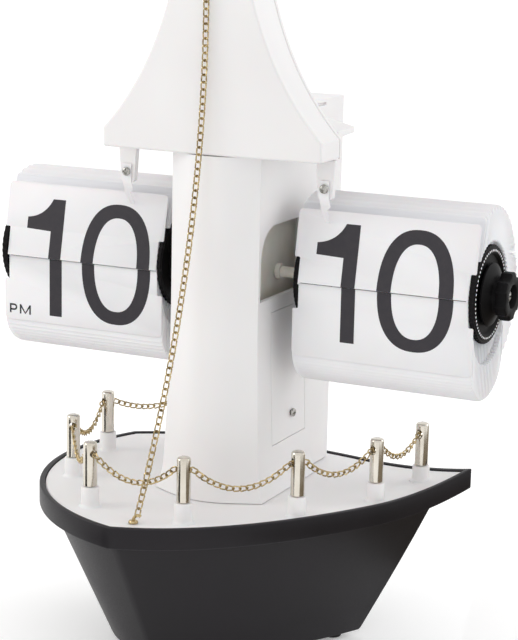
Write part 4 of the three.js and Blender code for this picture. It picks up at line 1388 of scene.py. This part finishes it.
def one(right_edge, upper, steps=12):
    """Half a one: a straight stem, and on the upper half its curved flag."""
    left = right_edge - stem_width
    points = [(left, 0.0), (right_edge, 0.0), (right_edge, figure_half), (left, figure_half)]
    if not upper:
        return points
    tip, bend = (left - flag_reach, 16.9), (left - 3.6, 17.8)
    points += [bent((left, figure_half), bend, tip, i / steps) for i in range(1, steps + 1)]
    return points + [(left - flag_reach, 12.1), (left, 11.6)]


def arch(centre, half_width, half_height, power, steps=40):
    """Upper half of a superellipse, from its right foot to its left."""
    points = []
    for i in range(steps + 1):
        angle = math.pi * i / steps
        c = math.cos(angle)
        s = math.sin(angle) if 0 < i < steps else 0.0
        points.append((centre + half_width * math.copysign(abs(c) ** (2 / power), c),
                       half_height * s ** (2 / power)))
    return points


def nought(left, right_edge):
    """Half a nought, which reaches a little beyond the one, as round figures do."""
    centre, half, reach = (left + right_edge) / 2, (right_edge - left) / 2, figure_half + overshoot
    outside = arch(centre, half, reach, 2.35)
    inside = arch(centre, half - side_stroke, reach - end_stroke, 2.3)
    return outside + inside[::-1]


def fitted(shape, split, end):
    """Stretches a half figure, drawn from 0 to figure_half, between the split and its end on the leaf."""
    begin = split + ink_gap
    return [(x, begin + s * (end - begin) / figure_half) for x, s in shape]


def printed(name, shapes, place, face):
    """Thin ink solids on a leaf; face is -1 for its front and 1 for its back."""
    skin, sunk = leaf_thickness / 2, 0.02
    near, far = face * (skin - sunk), face * (skin + ink_depth)
    return merged(name, [to_object(name, prism(shape, place, near, far), ink, 30) for shape in shapes])


def leaf_prints(label, stem, nought_edges, next_stem):
    """What is printed on which leaf: name, body, shapes, place, face, and the height that they fill."""
    hinge_y, hinge_z, tilt, length = leaf_hinges(sides[label][1])[0]
    split, top, foot = split_height[label], figure_top[label], figure_foot[label]
    now = {upper: [one(stem, upper), nought(*nought_edges)] for upper in (True, False)}
    after = {upper: [one(stem, upper), one(next_stem, upper)] for upper in (True, False)}
    flipping = label + "_leaf"
    return [
        ("standing", flipping, now[True], waiting, -1, (split, top / math.cos(upper_lean))),
        ("standing_back", flipping, after[False], waiting, 1, (split, -foot)),
        ("hanging", "body", now[False], fallen, 1, (-split, -foot)),
        ("next", "body", after[True], on_leaf(hinge_y, hinge_z, tilt), -1, (0.0, top - hinge_z - 1.0)),
    ]


# The one's right edge, the nought's two edges, and the right edge of the one that follows it at 11
places = {"hour": (-80.8, (-70.6, -36.6), -49.0), "minute": (58.8, (68.4, 101.4), 88.5)}
for label, (stem, nought_edges, next_stem) in places.items():
    for where, body, shapes, place, face, (begin, end) in leaf_prints(label, stem, nought_edges, next_stem):
        drawn = [fitted(shape, begin, end) for shape in shapes]
        hand_over(printed(label + "_figures_" + where, drawn, place, face), body, "black_plastic")


# %% Small PM on the hour leaf
def afternoon_mark(left, top, height=4.2, width=0.75):
    """Thin letters P and M as strokes, s measured down from the hinge."""
    low_edge, half = top + height, width / 2
    bowl_start, bowl_width, bowl_half = 2.3, 1.15, 1.1
    bowl = [(left + half, top + half)]
    for i in range(9):
        angle = math.pi * i / 8
        bowl.append((left + bowl_start + bowl_width * math.sin(angle),
                     top + half + bowl_half * (1 - math.cos(angle))))
    bowl.append((left + half, top + half + 2 * bowl_half))
    m_left, m_width = left + 5.2, 5.7
    near_stem, far_stem = m_left + half, m_left + m_width - half
    dip = [(near_stem, top + 0.2), (m_left + m_width / 2, low_edge - 0.3), (far_stem, top + 0.2)]
    stems = [[(x, top), (x, low_edge)] for x in (left + half, far_stem)]
    strokes = [stems[0], bowl, [(near_stem, low_edge), (near_stem, top)], dip, stems[1]]
    return [thickened(points, width) for points in strokes]


afternoon = printed("afternoon_mark", afternoon_mark(-107.7, 24.0), fallen, 1)
hand_over(afternoon, "body", "black_plastic")

# %% [markdown]
# Each drum has two end discs. Their rims are cut with one fine step for each leaf, which clicks the
# leaves over one by one. The outer disc is dished. The inner one is a little smaller and has a raised
# hub. A turned profile gives each disc, and a saw-tooth rule changes the rim's radius with the angle.

# %% End discs
disc_radius, tooth_depth, axle_hole, teeth_from = 20.4, 0.4, 2.6, 19.5
inner_smaller, hub_height, hub_radius, rising_part = 0.4, 1.6, 12.5, 0.65


def rim_step(angle, count):
    """How far the saw-tooth rim is cut in at an angle."""
    phase = (angle * count / (2 * math.pi)) % 1.0
    return tooth_depth * (phase / rising_part if phase < rising_part else (1 - phase) / (1 - rising_part))


def disc_profile(face, back_face, out, hub):
    """Radius and place along the axle, from the hole over the face to the back."""
    def below(depth):
        return face - out * depth

    if hub:
        middle = [(axle_hole, below(-hub)), (hub_radius - 0.3, below(-hub)), (hub_radius, below(0.3 - hub)),
                  (hub_radius, face)]
    else:
        middle = [(axle_hole, below(0.7)), (7.6, below(0.7)), (8.6, below(1.3)), (16.2, below(1.3)),
                  (16.8, below(0.35)), (17.2, face)]
    r, soft = disc_radius, 0.25
    rim = [(18.9, face), (19.1, below(0.3)), (r - soft, below(0.3)), (r, below(0.55)),
           (r, back_face + out * soft), (r - soft, back_face), (axle_hole, back_face)]
    return middle + rim


def end_disc(name, count, start, end, out, smaller=0.0, hub=0.0, tooth_steps=4):
    """A disc between two places on the axle; its face looks out, dished or with a raised hub."""
    face, back_face = (end, start) if out > 0 else (start, end)
    profile = disc_profile(face, back_face, out, hub)
    steps = count * tooth_steps
    rings = []
    for i in range(steps):
        angle = 2 * math.pi * i / steps
        ring = []
        for radius, x in profile:
            r = radius - (rim_step(angle, count) + smaller if radius > teeth_from else 0)
            ring.append(at(x, r * math.cos(angle), axle_height + r * math.sin(angle)))
        rings.append(ring)
    return to_object(name, rings_to_bmesh(rings, caps=False), disc_black, 28)


def hour_drive_flange(near=-29.0, far=-27.0, soft=0.2, hollow=0.3):
    profile = [(axle_hole, near), (hub_radius - soft, near), (hub_radius, near + soft),
               (hub_radius, far - soft), (hub_radius - soft, far), (6.0, far), (5.7, far - hollow),
               (axle_hole, far - hollow)]
    return turned("hour_drive_flange", profile, sideways(0, axle_height), disc_black, 96, 30)


inner_span, outer_span = (30.9, 33.0), {"hour": (108.4, 111.1), "minute": (108.1, 110.4)}
for label, (side, count) in sides.items():
    for where, (near, far), out in (("inner", inner_span, -1), ("outer", outer_span[label], 1)):
        start, end = sorted((side * near, side * far))
        smaller, hub = (inner_smaller, hub_height) if out < 0 else (0.0, 0.0)
        disc = end_disc(f"{label}_{where}_end", count, start, end, side * out, smaller, hub)
        hand_over(disc, label + "_drum", "black_plastic", f"{label}_{where}_disc")
hand_over(hour_drive_flange(), "hour_drum", "black_plastic", "hour_flange")

# %% [markdown]
# The setting knob sits on the end of the minute axle: a cone against the disc, a neck, and a head with
# six shallow flutes for the fingers and a recess that hides its screw. Each level is a ring whose
# radius is a rule of the angle, so the flutes need no cutting.

# %% Setting knob and its screw
knob_start, knob_length, knob_half = 110.1, 10.0, 10.0
flute_radius, flute_reach = 4.0, 12.6


def fluted(radius, angle):
    """Radius at an angle when round flutes are cut into a head of this radius."""
    turn = abs((angle + math.pi / 6) % (math.pi / 3) - math.pi / 6)
    reach = flute_reach + radius - knob_half
    across = flute_radius ** 2 - (reach * math.sin(turn)) ** 2
    cut_radius = reach * math.cos(turn) - math.sqrt(across) if across > 0 else radius
    blend = 0.35
    return min(cut_radius, radius) - blend * math.exp(-abs(cut_radius - radius) / blend) * 0.5


def knob(steps=180):
    """Rings from the cone over the neck and the fluted head into the recess."""
    cone = [(axle_hole, 0.0), (12.8, 0.0), (13.0, 0.2), (13.0, 0.9), (12.7, 1.2), (8.4, 3.3), (8.0, 3.7),
            (8.0, 5.0)]
    head = [(9.3, 5.0), (9.75, 5.15), (10.0, 5.6), (10.0, 9.0), (9.9, 9.5), (9.6, 9.85), (9.1, knob_length)]
    recess = [(5.3, knob_length), (5.0, 9.85), (4.85, 9.6), (4.4, 7.0), (axle_hole, 7.0)]
    rings = []
    for profile, rule in ((cone, None), (head, fluted), (recess, None)):
        for radius, lift in profile:
            ring = []
            for i in range(steps):
                angle = 2 * math.pi * i / steps
                r = rule(radius, angle) if rule else radius
                ring.append(at(knob_start + lift, r * math.cos(angle), axle_height + r * math.sin(angle)))
            rings.append(ring)
    return to_object("setting_knob_body", rings_to_bmesh(rings, caps=False), disc_black, 32)


def in_knob(length, a, b):
    return at(knob_start + knob_length - 2.6 + length, a, axle_height + b)


hand_over(knob(), "minute_drum", "black_plastic", "setting_knob")
knob_fixing = screw("knob_fixing", 2.6, 1.3, 0.1, in_knob, crosswise=False)
hand_over(knob_fixing, "minute_drum", "steel", "knob_screw")

# %% [markdown]
# The stay chain runs down from an eye on the sail's ridge to a hook at the deck's edge. The eye is a
# wire ring on a stud, the hook is a bent wire on a small plate, and the chain sags slightly between
# them. A tube along a path makes both wires.

# %% Eye, hook and stay chain
def wire(name, points, radius, material, sides=12, closed=False):
    """A round wire through points in metres, with rounded ends."""
    rings = []
    side = Vector((0, 0, 0))
    count = len(points)
    for i, point in enumerate(points):
        after = points[(i + 1) % count] if closed else points[min(count - 1, i + 1)]
        before = points[i - 1] if closed or i else points[0]
        along = (after - before).normalized()
        guess = side if side.length > 0.5 else along.orthogonal()
        side = (guess - along * guess.dot(along)).normalized()
        other = along.cross(side)
        size = radius * MM * (0.55 if not closed and i in (0, count - 1) else 1.0)
        rings.append([point + (side * math.cos(t) + other * math.sin(t)) * size
                      for t in (2 * math.pi * j / sides for j in range(sides))])
    bm = rings_to_bmesh(rings, caps=not closed, closed=closed)
    return to_object(name, bm, material, 60)


def smooth_path(knots, steps=10):
    """A smooth curve that passes through every knot."""
    padded = [knots[0] * 2 - knots[1]] + knots + [knots[-1] * 2 - knots[-2]]
    points = []
    for a, b, c, d in zip(padded, padded[1:], padded[2:], padded[3:]):
        for i in range(steps):
            t = i / steps
            points.append((b * 2 + (c - a) * t + (a * 2 - b * 5 + c * 4 - d) * t * t
                           + (b * 3 - a - c * 3 + d) * t ** 3) / 2)
    return points + [knots[-1]]


ridge_y, eye_z, eye_radius, eye_steps = sail_front - sail_ridge, sail_top - 38, 1.9, 32
plate_radius = 2.0
hook_low = Vector(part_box("deck_hook")[0])
hook_x = hook_low.x / MM - mast_x + plate_radius
hook_y = hook_low.y / MM - mast_y + plate_radius
hook_base = deck_height + fit_gap


def mast_ring():
    centre_y = ridge_y - fit_gap - 2.4
    angles = [2 * math.pi * i / eye_steps for i in range(eye_steps)]
    ring = [at(0, centre_y + eye_radius * math.cos(t), eye_z + eye_radius * math.sin(t)) for t in angles]
    profile = [(0.0, 0.3), (1.5, 0.3), (1.6, 0.45), (1.5, 0.7), (0.9, 0.8), (0.9, 1.3), (0.0, 1.3)]
    stud = turned("eye_stud", profile, toward_viewer(0, eye_z, ridge_y), gold, 24)
    return merged("mast_ring", [wire("eye_ring", ring, 0.6, gold, 10, True), stud])


def hook_point(forward, lift):
    return at(hook_x + forward * math.cos(hull_turn), hook_y + forward * math.sin(hull_turn),
              hook_base + lift)


def deck_stay_hook():
    knots = [(0, 0.5), (0.1, 1.5), (0.7, 2.6), (1.7, 3.1), (2.5, 3.0), (3.0, 2.6)]
    bend = smooth_path([hook_point(forward, lift) for forward, lift in knots])
    profile = [(0.0, 0.0), (plate_radius, 0.0), (plate_radius, 0.6), (1.7, 1.0), (0.9, 1.1), (0.0, 1.1)]
    plate = turned("hook_plate", profile, lambda length, a, b: at(hook_x + a, hook_y + b, hook_base + length),
                   gold, 32)
    return merged("deck_stay_hook", [plate, wire("hook_wire", bend, 0.65, gold)])


def stay_route(steps=60):
    """From the hook to the eye, hanging a little under the straight line between them."""
    low_end, high_end = hook_point(1.9, 4.5), at(0, ridge_y - 2.9, eye_z - 3.05)
    pull = low_end.lerp(high_end, 0.5) + Vector((3.8, 24.6, 0)) * MM
    return [low_end.lerp(pull, i / steps).lerp(pull.lerp(high_end, i / steps), i / steps)
            for i in range(steps + 1)]


hand_over(mast_ring(), "body", "gold_plate", "mast_eye")
hand_over(deck_stay_hook(), "body", "gold_plate", "deck_hook")
stay_chain = chain("stay_chain_links", stay_route(), right)
hand_over(stay_chain, "body", "gold_plate", "stay_chain")

# %% [markdown]
# Underneath, a battery door closes the bay: a plate with a rounded lower edge and five shallow grooves
# across it near its stern edge. Five rubber feet carry the hull: a turned disc with a soft edge, set on
# its five marks.

# %% Battery door and feet
door_thickness, groove_count, groove_pitch, groove_half, groove_depth = 2.6, 5, 2.2, 8, 0.6


def battery_door():
    levels = ((0.35, 0.0), (0.1, 0.1), (0.0, 0.35), (0.0, door_thickness))
    rings = [[boat(u, v, hull_bottom + lift) for u, v in drawn_in(bay_corners(fit_gap), inset)]
             for inset, lift in levels]
    door = to_object("battery_cover", rings_to_bmesh(rings), black_abs, 40)
    section = ((-0.5, -1), (0.5, -1), (0.3, groove_depth), (-0.3, groove_depth))
    cutters = []
    for i in range(groove_count):
        u = bay_u - 28.5 + groove_pitch * i
        groove = [[boat(u + a, v, hull_bottom + b) for a, b in section] for v in (-groove_half, groove_half)]
        cutters.append(to_object("groove", rings_to_bmesh(groove), black_abs))
    return cut_away(door, *cutters)


def pattern_foot(radius=4.0, height=2.2):
    profile = [(0.0, 0.0), (3.4, 0.0), (3.75, 0.1), (3.95, 0.4), (radius, 0.9), (radius, height),
               (2.2, height), (0.0, height)]
    dimple = turned("dimple", [(0.0, -1.0), (1.6, -1.0), (1.3, 0.35), (0.0, 0.35)], upright, rubber, 24)
    return cut_away(turned("foot", profile, upright, rubber, 40, 40), dimple)


hand_over(battery_door(), "door", "hull_plastic", "battery_door")
foot_places = ((-36, 27), (-36, -27), (9, 25), (9, -25), (41.5, 0))
foot_marks = [(boat(u, v, 0), (0, 0, 0)) for u, v in foot_places]
feet = on_marks("rubber_feet", pattern_foot(), foot_marks, rubber, 40)
hand_over(feet, "body", "rubber", "foot_stern_far", "foot_stern_near", "foot_mid_far", "foot_mid_near",
          "foot_bow")

# %% [markdown]
# The gears, the movement's frame, the motor, the cell and its contacts have the right shapes in the
# CAD model already. They keep those shapes and only get their finishes: zinc for the motor with its
# pinion and for the contacts, natural nylon for the frame, the axles and the other gears, and a
# metallic jacket for the cell.

# %% Finishes for the kept CAD nodes
kept_finish = {
    nylon: ("movement_frame", "minute_gear", "hour_gear", "idler_gear", "carry_pinion", "minute_axle",
            "hour_axle"),
    zinc: ("motor", "motor_pinion", "contact_positive", "contact_negative"),
    jacket: ("battery",),
}
for finish, names in kept_finish.items():
    for name in names:
        slots = bpy.data.objects[name].material_slots
        for slot in slots:
            slot.material = finish
        print(name, "has", len(slots), "slots in", finish.name)

# %% [markdown]
# The clock stands on a plain pale floor in a white studio. A white ground could be had by pouring more
# light on it, but that would burn out the white plastic too. Instead the Light Path node tells which
# rays come from the camera, off a glossy surface or through a clear one: for those the world is plain
# white and the floor adds the little that it lacks, while the light on the clock stays at a plain
# level. The shadow under the hull is kept, because the floor's own shade is still under the part that
# it adds.

# %% Floor
floor_lift, studio_light = 0.27, 0.88


def seen_straight(tree):
    """1 for rays from the camera, off a mirror or through glass, and 0 for the light on the clock."""
    path = node(tree, "ShaderNodeLightPath")
    seen = path.outputs["Is Camera Ray"]
    for kind in ("Is Glossy Ray", "Is Transmission Ray"):
        either = node(tree, "ShaderNodeMath", {0: seen, 1: path.outputs[kind]}, operation="MAXIMUM")
        seen = either.outputs["Value"]
    return seen


def pale_floor():
    material, tree, bsdf = shader("pale_floor", Base_Color=linear("f4f4f4"), Roughness=0.7)
    lift = node(tree, "ShaderNodeMapRange", {"Value": seen_straight(tree), "To Max": floor_lift})
    bsdf.inputs["Emission Color"].default_value = (1, 1, 1, 1)
    tree.links.new(lift.outputs["Result"], bsdf.inputs["Emission Strength"])
    return material


def sheet(name, corners, material):
    """One flat face for the stage."""
    mesh = bpy.data.meshes.new(name)
    mesh.from_pydata(corners, [], [(0, 1, 2, 3)])
    mesh.materials.append(material)
    return linked(name, mesh)


floor = sheet("floor", [(-6, -4, 0), (6, -4, 0), (6, 8, 0), (-6, 8, 0)], pale_floor())
print("floor of", round(floor.dimensions.x), "by", round(floor.dimensions.y), "m")

# %% World
world = bpy.data.worlds.new("studio")
bpy.context.scene.world = world
world.use_nodes = True
tree = world.node_tree
tree.nodes.clear()
strength = node(tree, "ShaderNodeMapRange", {"Value": seen_straight(tree), "To Min": studio_light,
                                             "To Max": 1.0})
sky = node(tree, "ShaderNodeBackground", {"Color": linear("ffffff"),
                                          "Strength": strength.outputs["Result"]})
node(tree, "ShaderNodeOutputWorld", {"Surface": sky.outputs["Background"]})
print("studio light", studio_light, "on the clock, 1 to the camera")

# %% [markdown]
# One soft lamp from the left shapes the flanks, and a weak one behind on the right lifts the back. A
# mirror in a white room looks like white paint, so a photographer lays dark cards beside it. Two
# cards do that for the plated posts and chains: they are seen only by reflections.

# %% Lamps and cards
def lamp(name, place, aim, size, power, colour="ffffff"):
    """A soft rectangular lamp; places and sizes in metres."""
    data = bpy.data.lights.new(name, "AREA")
    data.shape = "RECTANGLE"
    data.size, data.size_y = size
    data.energy = power
    data.color = linear(colour)[:3]
    toward = (Vector(aim) - Vector(place)).normalized()
    facing = toward.to_track_quat("-Z", "Y").to_matrix().to_4x4()
    linked(name, data).matrix_world = Matrix.Translation(Vector(place)) @ facing
    print(name, "lamp of", power, "watts")


lamp("key", (-1.45, -0.85, 0.85), (0, 0, 0.17), (0.8, 0.8), 7, "fffaf4")
lamp("back", (1.3, 0.9, 0.9), (0, 0, 0.2), (1.0, 0.8), 5)


def floor_card(name, bearing, span, near, far, colour):
    """A card lying around the clock, seen by reflections only; bearings in degrees from minus Y to X."""
    start, end, lift = math.radians(bearing - span / 2), math.radians(bearing + span / 2), 0.0005
    corners = [(reach * math.sin(turn), -reach * math.cos(turn), lift)
               for turn, reach in ((start, near), (end, near), (end, far), (start, far))]
    material, tree, bsdf = shader(name, Base_Color=linear(colour), Roughness=0.9, Specular_IOR_Level=0.0)
    laid = sheet(name, corners, material)
    laid.visible_camera = False
    laid.visible_diffuse = False
    laid.visible_shadow = False
    laid.visible_transmission = False
    print(name, "at bearing", bearing)


card_near, card_far = 0.14, 1.2
floor_card("dark_card", -40, 32, card_near, card_far, "14110f")
floor_card("warm_card", 105, 90, card_near, card_far, "857a6a")
